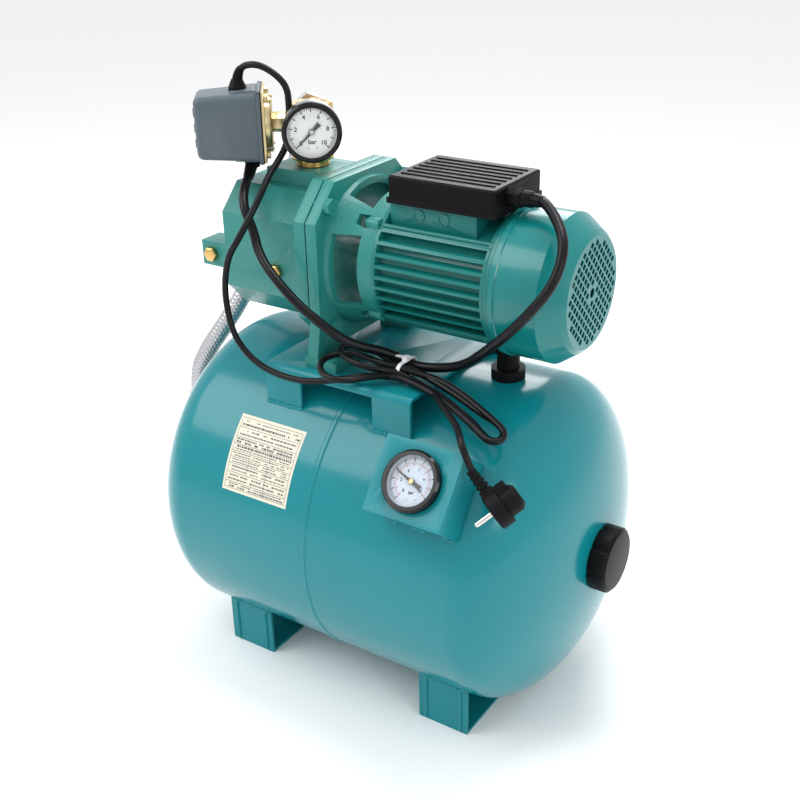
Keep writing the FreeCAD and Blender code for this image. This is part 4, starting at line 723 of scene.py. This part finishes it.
@dataclass
class Cables:
    """The motor cable, the supply cord with its tied hank and plug, and the braided hose."""

    shop: Workshop
    power_route: Sequence[Point] = (
        (165.5, -20.0, 582.0), (181.5, -21.0, 582.0), (191.5, -26.1, 583.1), (212.5, -44.0, 574.8),
        (228.5, -60.9, 562.0), (233.5, -74.3, 546.0), (230.5, -86.6, 525.3), (215.5, -95.3, 502.0),
        (189.5, -93.7, 472.1), (159.5, -83.8, 443.6), (127.5, -66.1, 415.9), (92.0, -61.0, 402.5),
        (60.0, -60.0, 398.5), (39.0, -68.0, 411.5), (11.5, -100.0, 426.0), (-12.5, -114.0, 448.0),
        (-40.5, -119.0, 468.0), (-69.5, -117.0, 490.0), (-95.5, -107.0, 507.0), (-111.0, -95.0, 528.0),
        (-125.0, -92.0, 549.0), (-138.0, -74.0, 563.3), (-149.0, -50.0, 572.3), (-152.2, -41.0, 582.3))
    cord_start: Sequence[Point] = (
        (-160.1, -46.2, 664.1), (-158.6, -46.2, 677.0), (-147.1, -46.2, 686.0), (-129.1, -43.2, 686.5),
        (-113.1, -37.2, 676.5), (-103.0, -34.0, 664.0), (-104.0, -32.0, 644.0), (-107.0, -29.0, 624.0),
        (-111.0, -31.0, 603.0), (-112.0, -46.0, 589.0), (-108.0, -68.0, 579.0), (-104.0, -90.0, 562.0),
        (-106.0, -107.0, 543.0), (-113.0, -118.0, 523.0), (-127.0, -119.0, 504.0), (-135.0, -119.0, 478.0),
        (-135.0, -121.0, 451.0), (-126.0, -124.0, 419.0), (-109.0, -126.0, 401.0), (-86.0, -128.0, 390.0),
        (-60.0, -129.0, 386.0), (-34.0, -129.0, 386.0), (-10.0, -127.0, 390.0), (14.0, -121.0, 396.0),
        (36.0, -103.0, 398.0))
    hank: Sequence[Point] = (
        (60.0, -86.0, 396.0), (84.0, -90.0, 395.0), (112.0, -96.0, 392.0), (140.0, -106.0, 387.0),
        (166.0, -115.0, 380.0), (179.0, -121.0, 376.0), (190.0, -124.0, 373.0), (198.0, -118.0, 373.0),
        (198.0, -108.0, 376.0), (189.0, -102.0, 380.0), (166.0, -95.0, 387.0), (138.0, -84.0, 393.0),
        (110.0, -77.0, 398.0), (84.0, -76.0, 400.0), (60.0, -80.0, 403.0), (40.0, -84.0, 405.0),
        (16.0, -83.0, 408.0), (-3.0, -87.0, 409.0), (-13.0, -100.0, 409.0), (-15.0, -114.0, 408.0),
        (-8.0, -128.0, 407.0), (5.0, -138.0, 405.0), (21.0, -139.0, 404.0), (33.0, -130.0, 403.0),
        (42.0, -114.0, 402.0), (50.0, -96.0, 399.0), (60.0, -78.0, 394.0), (84.0, -81.0, 391.0),
        (112.0, -87.0, 388.0), (140.0, -97.0, 382.0), (164.0, -107.0, 377.0), (177.0, -115.0, 373.0),
        (187.0, -118.0, 370.0), (195.0, -112.0, 370.0), (194.0, -102.0, 374.0), (184.0, -97.0, 379.0),
        (169.0, -96.0, 383.0), (150.0, -91.0, 387.0), (124.0, -84.0, 393.0), (98.0, -78.0, 397.0),
        (78.0, -74.0, 400.0), (60.0, -72.5, 402.0), (45.0, -69.0, 400.0), (23.0, -59.0, 402.0),
        (6.0, -57.0, 404.0), (-8.0, -64.0, 409.0), (-14.0, -76.0, 410.0), (-11.0, -89.0, 411.0),
        (0.0, -99.0, 411.0), (19.0, -105.0, 410.0), (37.0, -104.0, 408.0), (50.0, -92.0, 403.0),
        (60.0, -84.0, 400.0), (76.0, -84.0, 395.0), (92.0, -88.0, 393.0))
    tail: Sequence[Point] = (
        (108.0, -93.0, 393.0), (124.0, -107.0, 391.0), (144.0, -122.0, 388.5), (163.0, -137.0, 384.5))
    hose_start: Sequence[Point] = (
        (-136.1, 44.9, 624.0), (-157.7, 72.5, 624.0), (-173.7, 90.5, 616.0), (-187.7, 97.5, 590.0),
        (-194.7, 94.5, 556.0), (-202.7, 85.5, 516.0))
    hose_fall: Sequence[Point] = (
        (85.0, 73.0, 239.0), (72.0, 54.0, 194.0), (58.0, 34.0, 151.0), (38.0, 16.0, 112.0),
        (15.0, 5.0, 77.0))
    hose_inset: float = 17.0
    ferrule_reach: float = 12.0
    straight_end: float = 44.0
    power_radius: float = 5.0
    supply_radius: float = 3.5
    hose_radius: float = 11.5

    def build(self, plug: "Plug") -> None:
        """Args:
            plug: the plug that the supply cord ends in.
        """
        rubber = self.shop.shelf.get(CABLE_RUBBER)
        power = spline("motor_cable", self.power_route, bevel=self.power_radius)
        power.data.materials.append(rubber)
        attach(power, ROOT)
        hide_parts("power_cable")
        sleeves = [self._relief("box_relief", self.power_route, 24.0, (7.4, 5.5)),
                   self._relief("switch_relief_low", self.power_route[::-1], 22.0, (7.2, 5.5))]
        self._metres(self.power_route[0])
        length_of(self.power_route)
        log.info("motor_cable is made and rides on %s", ROOT)
        route = [*self.cord_start, *self.hank, *self.tail, *plug.cord_end()]
        supply = spline("supply_cord", route, bevel=self.supply_radius)
        supply.data.materials.append(rubber)
        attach(supply, ROOT)
        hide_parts("plug_cord", "cord_hank", "plug_cord_tail")
        sleeve = self._relief("switch_relief_top", route, 20.0, (6.2, 4.0))
        self._metres(route[0])
        length_of(route)
        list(plug.pieces)
        log.info("supply_cord is made and rides on %s", ROOT)
        self._hose()

    def _relief(self, name: str, route: Sequence[Point], reach: float,
                widths: tuple[float, float]) -> bpy.types.Object:
        """A tapered sleeve over the first stretch of a route.

        Args:
            name: the piece's name.
            route: the cable's points, from its exit.
            reach: the sleeve's length, in millimetres.
            widths: its radius at the exit and at its tip, in millimetres.

        Returns:
            The sleeve.
        """
        points, gone = [], 0.0
        for point in spline_points(route):
            if points:
                gone += (point - points[-1]).length
            if gone > reach * MM:
                break
            points.append(point)
        return self.shop.place(name, tube_mesh(points, widths[0], 32, widths[1]), BLACK_PLASTIC,
                               slot="black_gland", soften=50.0)

    def _hose(self) -> None:
        """The braided hose as a tube with its own unrolled map."""
        elbow = centre_mm("tank_elbow")
        low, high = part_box("tank_elbow")
        x = low[0] / MM + self.hose_inset
        foot = high[2] / MM + self.ferrule_reach
        fall = [(x + along, y, foot + up) for along, y, up in self.hose_fall]
        route = [*self.hose_start, *fall, (x, elbow.y, foot + self.straight_end), (x, elbow.y, foot)]
        points = spline_points(route)
        hose = self.shop.place("braided_hose", tube_mesh(points, self.hose_radius), BRAID,
                               stands_for=["hose"], slot="braided_hose", soften=60.0)
        tuple(points[0])
        sum((b - a).length for a, b in zip(points, points[1:]))
        [tuple(p) for p in points]

    @staticmethod
    def _metres(point: Point) -> Point:
        """A point given in millimetres, in metres."""
        return tuple(value * MM for value in point)


def length_of(route: Sequence[Point]) -> float:
    """The length of a route's smooth curve, in metres."""
    points = spline_points(route)
    return sum((b - a).length for a, b in zip(points, points[1:]))


@dataclass
class Plug:
    """The angled plug on the supply cord, and the way the cord enters it."""

    shop: Workshop
    place: Point = (217.0, -166.0, 323.9)
    pin_way: Point = (-0.56, -0.60, -0.55)
    cord_way: Point = (0.74, -0.10, -0.66)
    relief_back: float = 44.5
    relief_rise: float = 7.7
    approach: Point = (-9.0, -2.0, 22.0)
    bite: float = 3.0
    pieces: list[bpy.types.Object] = field(default_factory=list)

    def build(self) -> None:
        """Dress the plug and its pins."""
        self.shop.dress("plug_pins", NICKEL)
        self.shop.dress("plug_body", DARK_RUBBER)
        self.pieces = [frame["nodes"]["plug_body"], frame["nodes"]["plug_pins"]]

    def cord_end(self) -> list[Point]:
        """The cord's last two points, into the strain relief.

        Returns:
            The points, in millimetres.
        """
        way = Vector(self.cord_way).normalized()
        back = Vector(self.pin_way).normalized()
        relief = Vector(self.place) - way * self.relief_back - back * self.relief_rise
        return [tuple(relief + Vector(self.approach)), tuple(relief + way * self.bite)]


# --------------------------------------------------------------------------------------------
# Gauges
# --------------------------------------------------------------------------------------------
@dataclass
class Gauge:
    """Scale, figures and hub of one round gauge that looks along -Y of its own frame.

    Args:
        shop: the workshop.
        name: the start of the pieces' names.
        frame_matrix: the gauge's frame, with the dial's middle at its origin.
        needle_body: the body that the needle rides on.
        red_scale: whether a second, red scale runs inside the black one.
        figures: the numbers round the dial.
        rest_angle: the pointer's angle at rest, in degrees.
        sweep: the scale's whole angle, in degrees.
        dial_y: how far the print lies in front of the origin, in millimetres.
    """

    shop: Workshop
    name: str
    frame_matrix: Matrix
    needle_body: str
    red_scale: bool
    figures: Sequence[int]
    rest_angle: float = -135.0
    sweep: float = 270.0
    dial_y: float = -0.85
    arc_steps: int = 90

    def build(self) -> None:
        """Print the dial and cap the needle's hub."""
        self.shop.place(self.name + "_scale", merged(self._ticks(24.5, 51, 5)), INK_BLACK)
        if self.red_scale:
            self.shop.place(self.name + "_red_scale", merged(self._ticks(19.0, 41, 4, 0.75)), INK_RED)
        self._figures()
        studs = []
        for side in (-1, 1):
            stud = lathe([(0, 0), (0, 1.3), (0.4, 1.2), (0.6, 0.7), (0.6, 0)], 16)
            studs.append((stud, self.frame_matrix @ shift(side * 4.6, self.dial_y, -16.5) @ turn(90, "X")))
        self.shop.place(self.name + "_studs", merged(studs), ZINC)
        hub = lathe([(0.0, 0.0), (0.0, 2.6), (0.9, 2.5), (1.3, 2.0), (1.3, 1.3), (0.9, 1.1), (0.9, 0.0)],
                    32)
        hub.transform(self.frame_matrix @ shift(0, -3.6, 0) @ turn(90, "X"))
        self._pointer()
        self.shop.place(self.name + "_hub", hub, BRASS if self.red_scale else ZINC, self.needle_body)

    def _pointer(self) -> None:
        """A tapered pointer with a broad tail, laid along the CAD needle."""
        outline = [(-2.6, -11.5), (2.6, -11.5), (1.6, -4.0), (1.5, 3.0), (0.25, 21.5), (-0.25, 21.5),
                   (-1.5, 3.0), (-1.6, -4.0)]
        shape = bmesh.new()
        face = shape.faces.new([shape.verts.new((x * MM, 0.0, z * MM)) for x, z in outline])
        grown = bmesh.ops.extrude_face_region(shape, geom=[face])
        rim = [item for item in grown["geom"] if isinstance(item, bmesh.types.BMVert)]
        bmesh.ops.translate(shape, verts=rim, vec=(0.0, -0.5 * MM, 0.0))
        shape.transform(self.frame_matrix @ turn(self.rest_angle, "Y") @ shift(0, -2.6, 0))
        self.shop.place(self.name + "_pointer", shape, INK_BLACK, self.needle_body,
                        slot="needle_black", soften=20.0)

    def _ticks(self, radius: float, count: int, step: int, size: float = 1.0) -> Iterator[Placed]:
        """Thin bars round the dial, long ones at every step, and the arc that joins them.

        Args:
            radius: the scale's outer radius, in millimetres.
            count: the number of bars.
            step: how many bars lie from one long one to the next.
            size: the bars' size as a share of the full one.

        Returns:
            Each bar with its place.
        """
        for index in range(count):
            angle = -self.sweep / 2 + self.sweep * index / (count - 1)
            tall = index % step == 0
            length = (4.4 if tall else 2.4) * size
            bar = block(((1.15 if tall else 0.6) * size, 0.1, length))
            yield bar, (self.frame_matrix @ turn(angle, "Y") @ shift(0, self.dial_y, radius - length / 2))
        for index in range(self.arc_steps):
            angle = -self.sweep / 2 + self.sweep * (index + 0.5) / self.arc_steps
            bar = block((radius * math.radians(self.sweep / self.arc_steps) * 1.05, 0.1, 0.25))
            yield bar, (self.frame_matrix @ turn(angle, "Y") @ shift(0, self.dial_y, radius))

    def _figures(self) -> None:
        """The numbers on the dial, as flat meshes."""
        whole = bmesh.new()
        radius, size, unit_size = (12.2, 4.4, 4.4) if self.red_scale else (16.6, 6.4, 6.6)
        for index, number in enumerate(self.figures):
            angle = math.radians(-self.sweep / 2 + self.sweep * index / (len(self.figures) - 1))
            place = shift(radius * math.sin(angle), self.dial_y, radius * math.cos(angle))
            self._text(whole, str(number), size, place)
        self._text(whole, "bar", unit_size, shift(0, self.dial_y, -10.5))
        self.shop.place(self.name + "_figures", whole, INK_BLACK)

    def _text(self, whole: bmesh.types.BMesh, text: str, size: float, place: Matrix) -> None:
        """Add one short text to a mesh.

        Args:
            whole: the mesh to add to.
            text: the text.
            size: its height, in millimetres.
            place: its middle, in the gauge's frame.
        """
        curve = bpy.data.curves.new("figure", "FONT")
        curve.body = text
        curve.size = size * MM
        curve.align_x = "CENTER"
        curve.align_y = "CENTER"
        curve.extrude = 0.05 * MM
        curve.offset = 0.2 * MM
        ghost = bpy.data.objects.new("figure", curve)
        bpy.context.scene.collection.objects.link(ghost)
        graph = bpy.context.evaluated_depsgraph_get()
        mesh = bpy.data.meshes.new_from_object(ghost.evaluated_get(graph))
        mesh.transform(self.frame_matrix @ place @ turn(90, "X"))
        whole.from_mesh(mesh)
        bpy.data.meshes.remove(mesh)
        bpy.data.objects.remove(ghost)


# --------------------------------------------------------------------------------------------
# Sub-assemblies
# --------------------------------------------------------------------------------------------
@dataclass
class Tank:
    """The pressure tank with its feet, bracket, label and welds."""

    shop: Workshop
    axis_z: float = 197.0
    radius: float = 185.0
    label_rows: Sequence[float] = (0.0, 0.09, 0.22, 0.34, 0.43, 0.52, 0.62, 0.72, 0.86, 1.0)
    label_start: float = 19.6
    label_end: float = 43.9
    label_margin: float = 3.0
    print_lift: float = 0.32
    print_thickness: float = 0.08
    print_seed: int = 7
    weld_seed: int = 3
    leg_middle: float = 69.5
    leg_reach: float = 22.0
    foot_middle: float = 136.5
    foot_reach: float = 26.0

    def build(self) -> None:
        """Dress the tank's nodes and add its welds and its label's print."""
        for node in ("tank_shell_left", "tank_shell_right"):
            self.shop.dress(node, TANK_PAINT)
        self.shop.dress("tank_feet", BRACKET_PAINT)
        self.shop.rounded("pump_bracket", BRACKET_PAINT, 0.8)
        self.shop.rounded("gauge_housing", BRACKET_PAINT, 0.8)
        self.shop.dress("membrane", DARK_RUBBER)
        self.shop.dress("counter_flange", ZINC)
        self.shop.dress("flange_bolts", ZINC)
        self.shop.dress("tank_elbow", BRASS)
        self.shop.dress("air_valve", BRASS)
        self.shop.rounded("air_valve_cap", BLACK_PLASTIC, 1.2, "valve_cap")
        self.shop.dress("nameplate", LABEL_PAPER)
        self._label_print()
        self._welds()

    def _on_tank(self, x: float, angle: float, lift: float) -> Vector:
        """A point on the tank's -Y flank, in millimetres.

        Args:
            x: its place along the tank.
            angle: its height round the tank, in degrees above the axis.
            lift: how far it stands off the skin.

        Returns:
            The point.
        """
        a = math.radians(angle)
        reach = self.radius + lift
        return Vector((x, -reach * math.cos(a), self.axis_z + reach * math.sin(a)))

    def _patch(self, whole: bmesh.types.BMesh, x: tuple[float, float], angle: tuple[float, float],
               lift: float) -> None:
        """Add a thin printed patch that follows the tank's skin.

        Args:
            whole: the mesh to add to.
            x: its two ends along the tank, in millimetres.
            angle: its lower and upper edges, in degrees above the axis.
            lift: how far it stands off the skin, in millimetres.
        """
        steps = max(1, int(abs(angle[1] - angle[0])))
        rows = []
        for step in range(steps + 1):
            a = angle[0] + (angle[1] - angle[0]) * step / steps
            rows.append([[whole.verts.new(self._on_tank(place, a, height) * MM) for place in x]
                         for height in (lift, lift + self.print_thickness)])
        for low, high in zip(rows, rows[1:]):
            for quad in ((low[1][0], low[1][1], high[1][1], high[1][0]),
                         (low[0][1], low[0][0], high[0][0], high[0][1]),
                         (low[0][0], low[1][0], high[1][0], high[0][0]),
                         (low[1][1], low[0][1], high[0][1], high[1][1])):
                whole.faces.new(quad)
        for row, order in ((rows[0], 1), (rows[-1], -1)):
            whole.faces.new([row[0][0], row[0][1], row[1][1], row[1][0]][::order])

    def _label_print(self) -> None:
        """Rules and short plain bars in place of the label's text."""
        low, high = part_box("nameplate")
        left, right = low[0] / MM + self.label_margin, high[0] / MM - self.label_margin
        start, end, lift = self.label_start, self.label_end, self.print_lift
        rules = bmesh.new()
        rows = [start + (end - start) * share for share in self.label_rows]
        for angle in rows:
            self._patch(rules, (left, right), (angle - 0.07, angle + 0.07), lift)
        for place, low_row, high_row in ((left, 0, 9), (right, 0, 9), (left + 52, 0, 7), (left + 26, 2, 6)):
            self._patch(rules, (place - 0.2, place + 0.2), (rows[low_row], rows[high_row]), lift)
        self.shop.place("label_rules", rules, INK_GREY)
        bars = bmesh.new()
        draw = random.Random(self.print_seed)
        for low_row, high_row in zip(rows, rows[1:]):
            for share in (0.3, 0.7):
                middle = low_row + (high_row - low_row) * share
                bold = draw.choice((0.16, 0.24, 0.34))
                place = left + draw.uniform(1.5, 6.0)
                while place < right - 4.0:
                    width = draw.uniform(1.2, 4.5)
                    if draw.random() < 0.86:
                        self._patch(bars, (place, min(place + width, right - 1.5)),
                                    (middle - bold, middle + bold), lift)
                    place += width + 0.9
        self.shop.place("label_bars", bars, INK_GREY)

    def _welds(self) -> None:
        """Weld beads and painted drops along the bracket's legs, the housing and the feet."""
        beads = []
        draw = random.Random(self.weld_seed)
        low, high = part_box("pump_bracket")
        legs = [(side * self.leg_middle, y) for side in (-1, 1) for y in (low[1] / MM, high[1] / MM)]
        for middle, y in legs:
            z = self.axis_z + math.sqrt(self.radius ** 2 - y ** 2)
            beads += self._bead((middle - self.leg_reach, y, z), (middle + self.leg_reach, y, z), draw)
        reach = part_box("tank_feet")
        for y in (reach[0][1] / MM + 1.5, reach[1][1] / MM - 1.5):
            z = self.axis_z - math.sqrt(self.radius ** 2 - y ** 2)
            for side in (-1, 1):
                middle = side * self.foot_middle
                ends = (middle - self.foot_reach, y, z), (middle + self.foot_reach, y, z)
                beads += self._bead(*ends, draw)
        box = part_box("gauge_housing")
        for share in (0.12, 0.5, 0.88):
            x = (box[0][0] + (box[1][0] - box[0][0]) * share) / MM
            place = self._on_tank(x, 26.5, 1.0)
            beads += self._bead((x - 5, place.y, place.z), (x + 5, place.y, place.z), draw)
        self.shop.place("weld_beads", merged(beads), BRACKET_PAINT, soften=80.0)

    @staticmethod
    def _bead(start: Point, end: Point, draw: random.Random) -> Iterator[Placed]:
        """Overlapping drops from one point to another.

        Args:
            start: the bead's first end, in millimetres.
            end: its other end.
            draw: the seeded source of the drops' sizes and places.

        Returns:
            Each drop with its place.
        """
        run = Vector(end) - Vector(start)
        count = max(3, int(run.length / 3.0))
        for step in range(count + 1):
            drop = bmesh.new()
            size = draw.uniform(1.6, 2.9) * MM
            bmesh.ops.create_icosphere(drop, subdivisions=2, radius=size)
            stray = Vector((0, draw.uniform(-0.4, 0.4), draw.uniform(-0.8, 0.4)))
            place = Vector(start) + run * (step / count) + stray
            yield drop, shift(*place) @ Matrix.Diagonal((1.3, 1.0, draw.uniform(0.8, 1.3), 1.0))


@dataclass
class Pump:
    """The cast casing, the lantern and what is bolted to them."""

    shop: Workshop

    def build(self) -> None:
        """Dress the pump end."""
        self.shop.rounded("pump_casing", CAST_PAINT, 2.6, steps=3)
        self.shop.rounded("motor_lantern", CAST_PAINT, 1.2)
        self.shop.rounded("pump_bolts", CAST_PAINT, 0.6)
        self.shop.rounded("casing_plugs", BRASS, 0.5)
        self.shop.dress("casing_gasket", BLACK_PLASTIC)
        for node in ("jet_ejector", "diffuser"):
            self.shop.dress(node, BLACK_PLASTIC)
        self.shop.dress("impeller", BRASS)
        self.shop.dress("mechanical_seal", CERAMIC)


@dataclass
class Motor:
    """The motor, its box, its fan and its foot."""

    shop: Workshop

    def build(self) -> None:
        """Dress the motor."""
        self.shop.rounded("motor_frame", MOTOR_PAINT, 0.5)
        self.shop.rounded("rear_shield", MOTOR_PAINT, 0.6)
        self.shop.rounded("tie_rods", MOTOR_PAINT, 0.5)
        self.shop.dress("fan_cover", COVER_PAINT)
        self.shop.rounded("terminal_box_cover", BLACK_PLASTIC, 0.9, steps=3)
        self.shop.rounded("box_gland", BLACK_PLASTIC, 0.7)
        self.shop.rounded("motor_foot", DARK_RUBBER, 1.2)
        for node in ("motor_shaft", "motor_bearings"):
            self.shop.dress(node, STEEL)
        for node in ("rotor_core", "stator_core"):
            self.shop.dress(node, ZINC)
        self.shop.dress("stator_windings", COPPER)
        self.shop.dress("cooling_fan", BLACK_PLASTIC)
        self.shop.dress("terminal_block", BLACK_PLASTIC)
        self.shop.dress("capacitor", CERAMIC)


@dataclass
class SwitchTrim:
    """The lid's lip, gasket, step, ribs and screws on the pressure switch.

    Its frame has its origin in the switch's middle at the base plate, and the cover runs along -X.
    """

    shop: Workshop
    frame_matrix: Matrix
    half_width: float = 30.0
    half_height: float = 36.5
    cover_length: float = 70.0

    def build(self) -> None:
        """Add every small part of the switch's outside."""
        self.shop.place("switch_lip", merged(self._ring(-2.6, 3.6, 1.2)), SWITCH_GREY, slot="grey_cover")
        self.shop.place("switch_gasket", merged(self._ring(-0.2, 1.2, 0.7)), BLACK_PLASTIC,
                        slot="black_glands")
        self.shop.place("switch_step", merged(self._steps()), SWITCH_GREY, slot="grey_cover")
        self.shop.place("switch_screws", merged(self._screws()), YELLOW_ZINC, slot="zinc_base", soften=30.0)
        self.shop.place("switch_springs", merged(self._springs()), ZINC, slot="zinc_lever", soften=60.0)

    def _ring(self, x: float, thick: float, proud: float) -> Iterator[Placed]:
        """Four rounded bars round the cover.

        Args:
            x: the ring's middle along the switch, in millimetres.
            thick: its width along the switch.
            proud: how far it stands out.

        Returns:
            Each bar with its place.
        """
        wide, tall = self.half_width + proud, self.half_height + proud
        for side in (-1, 1):
            yield (block((thick, 2 * wide, proud + 0.8), 0.25),
                   self.frame_matrix @ shift(x, 0, side * (tall - (proud + 0.8) / 2)))
            yield (block((thick, proud + 0.8, 2 * tall - 0.1), 0.25),
                   self.frame_matrix @ shift(x, side * (wide - (proud + 0.8) / 2), 0))

    def _steps(self) -> Iterator[Placed]:
        """The raised step under each gland and the ribs on the far end.

        Returns:
            Each piece with its place.
        """
        for side in (-1, 1):
            tilt = turn(-side * 3.2, "Y")
            yield (block((26.0, 42.0, 2.4), 0.8),
                   self.frame_matrix @ shift(-18.0, 0, side * (self.half_height - 1.0)) @ tilt)
        for z in (-16.0, 0.0, 16.0):
            yield (block((2.4, 34.0, 9.0), 0.9), self.frame_matrix @ shift(-self.cover_length - 0.1, 0, z))

    def _screws(self) -> Iterator[Placed]:
        """Hexagon heads and plain studs on the plate's outside.

        Returns:
            Each piece with its place.
        """
        for y in (-22.0, 22.0):
            for z in (-29.0, 29.0):
                head = lathe([(0, 0), (0, 3.6), (2.2, 3.6), (2.6, 3.1), (2.6, 0)], 6)
                yield head, self.frame_matrix @ shift(4.2, y, z) @ turn(90, "Y")
                shank = lathe([(0, 0), (0, 1.6), (9.0, 1.6), (9.0, 0)], 16)
                yield shank, self.frame_matrix @ shift(2.0, y * 0.55, z * 0.86) @ turn(90, "Y")

    def _springs(self) -> Iterator[Placed]:
        """Two short coil springs beside the diaphragm, each a stack of rings.

        Returns:
            Each ring with its place.
        """
        for y, turns in ((-14.0, 6), (15.0, 4)):
            for index in range(turns):
                coil = bmesh.new()
                bmesh.ops.create_circle(coil, segments=8, radius=0.6 * MM,
                                        matrix=Matrix.Translation((2.6 * MM, 0, 0)) @ turn(90, "X"))
                bmesh.ops.spin(coil, geom=coil.verts[:] + coil.edges[:], cent=(0, 0, 0), axis=(0, 0, 1),
                               dvec=(0, 0, 0), angle=math.tau, steps=20, use_merge=True,
                               use_duplicate=False)
                bmesh.ops.remove_doubles(coil, verts=coil.verts[:], dist=1e-7)
                yield coil, self.frame_matrix @ shift(3.0 + index * 1.25, y, -25.0) @ turn(90, "Y")


@dataclass
class Fittings:
    """The brass fitting, the switch and both gauges."""

    shop: Workshop
    fitting_turn: float = 38.0
    housing_angle: float = 38.7
    gauge_roll: float = 13.0

    def build(self) -> None:
        """Dress the fittings and print the gauges."""
        self.shop.rounded("five_way_fitting", BRASS, 0.6)
        self.shop.rounded("switch_nipple", YELLOW_ZINC, 0.5)
        self.shop.rounded("switch_base", YELLOW_ZINC, 0.5)
        self.shop.dress("switch_lever", ZINC)
        self.shop.rounded("switch_cover", SWITCH_GREY, 1.2, steps=3)
        self.shop.dress("switch_glands", BLACK_PLASTIC)
        self.shop.rounded("hose_ferrules", ZINC, 0.6)
        self.shop.dress("pump_gauge_case", ZINC)
        self.shop.dress("pump_gauge_bezel", BLACK_GLOSS)
        self.shop.dress("tank_gauge_case", BLACK_GLOSS)
        self.shop.dress("pump_gauge_dial", DIAL_WHITE)
        self.shop.dress("tank_gauge_dial", DIAL_BLUE)
        self.shop.dress("cable_tie", TIE_WHITE)
        for node in ("pump_gauge_needle", "tank_gauge_needle"):
            self.shop.dress(node, INK_BLACK)
        for node in ("pump_gauge_glass", "tank_gauge_glass"):
            piece = frame["nodes"][node]
            piece.data.materials.clear()
            piece.data.materials.append(self.shop.shelf.glass())
        ports = {mount["name"]: mount for mount in frame["record"]["mounts"]}
        outlet = ports["outlet_port"]["pos_m"]
        origin = Vector((outlet[0], outlet[1], joint_place("pump_gauge_needle_turn").z))
        switch = Matrix.Translation(origin) @ turn(self.fitting_turn, "Z") @ shift(-51.0, 0, 0)
        SwitchTrim(self.shop, switch).build()
        top = joint_place("pump_gauge_needle_turn")
        face = joint_place("tank_gauge_needle_turn")
        Gauge(self.shop, "pump_gauge", Matrix.Translation(top) @ turn(self.fitting_turn, "Z"),
              "pump_needle", False, (0, 2, 4, 6, 8, 10)).build()
        Gauge(self.shop, "tank_gauge",
              Matrix.Translation(face) @ turn(-self.housing_angle, "X") @ turn(-self.gauge_roll, "Y"),
              "tank_needle", True, (0, 2, 4, 6, 8, 10), rest_angle=-57.0).build()


def write_sizes() -> None:
    """Work out the CAD box and the finished model's box."""
    boxes = {"cad": CAD_BOX, "visual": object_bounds()}
    plain = {name: [[float(value) for value in corner] for corner in box] for name, box in boxes.items()}


def main() -> None:
    """Build the scene in order."""
    logging.basicConfig(level=logging.INFO)
    shop = Workshop()
    Studio().build()
    log.info("camera and light are ready")
    plug = Plug(shop)
    plug.build()
    Cables(shop).build(plug)
    log.info("cables are ready")
    builds: list[Callable[[], None]] = [Tank(shop).build, Pump(shop).build, Motor(shop).build,
                                        Fittings(shop).build]
    for build in builds:
        build()
    write_sizes()
    log.info("every piece is made")


if __name__ == "__main__":
    main()
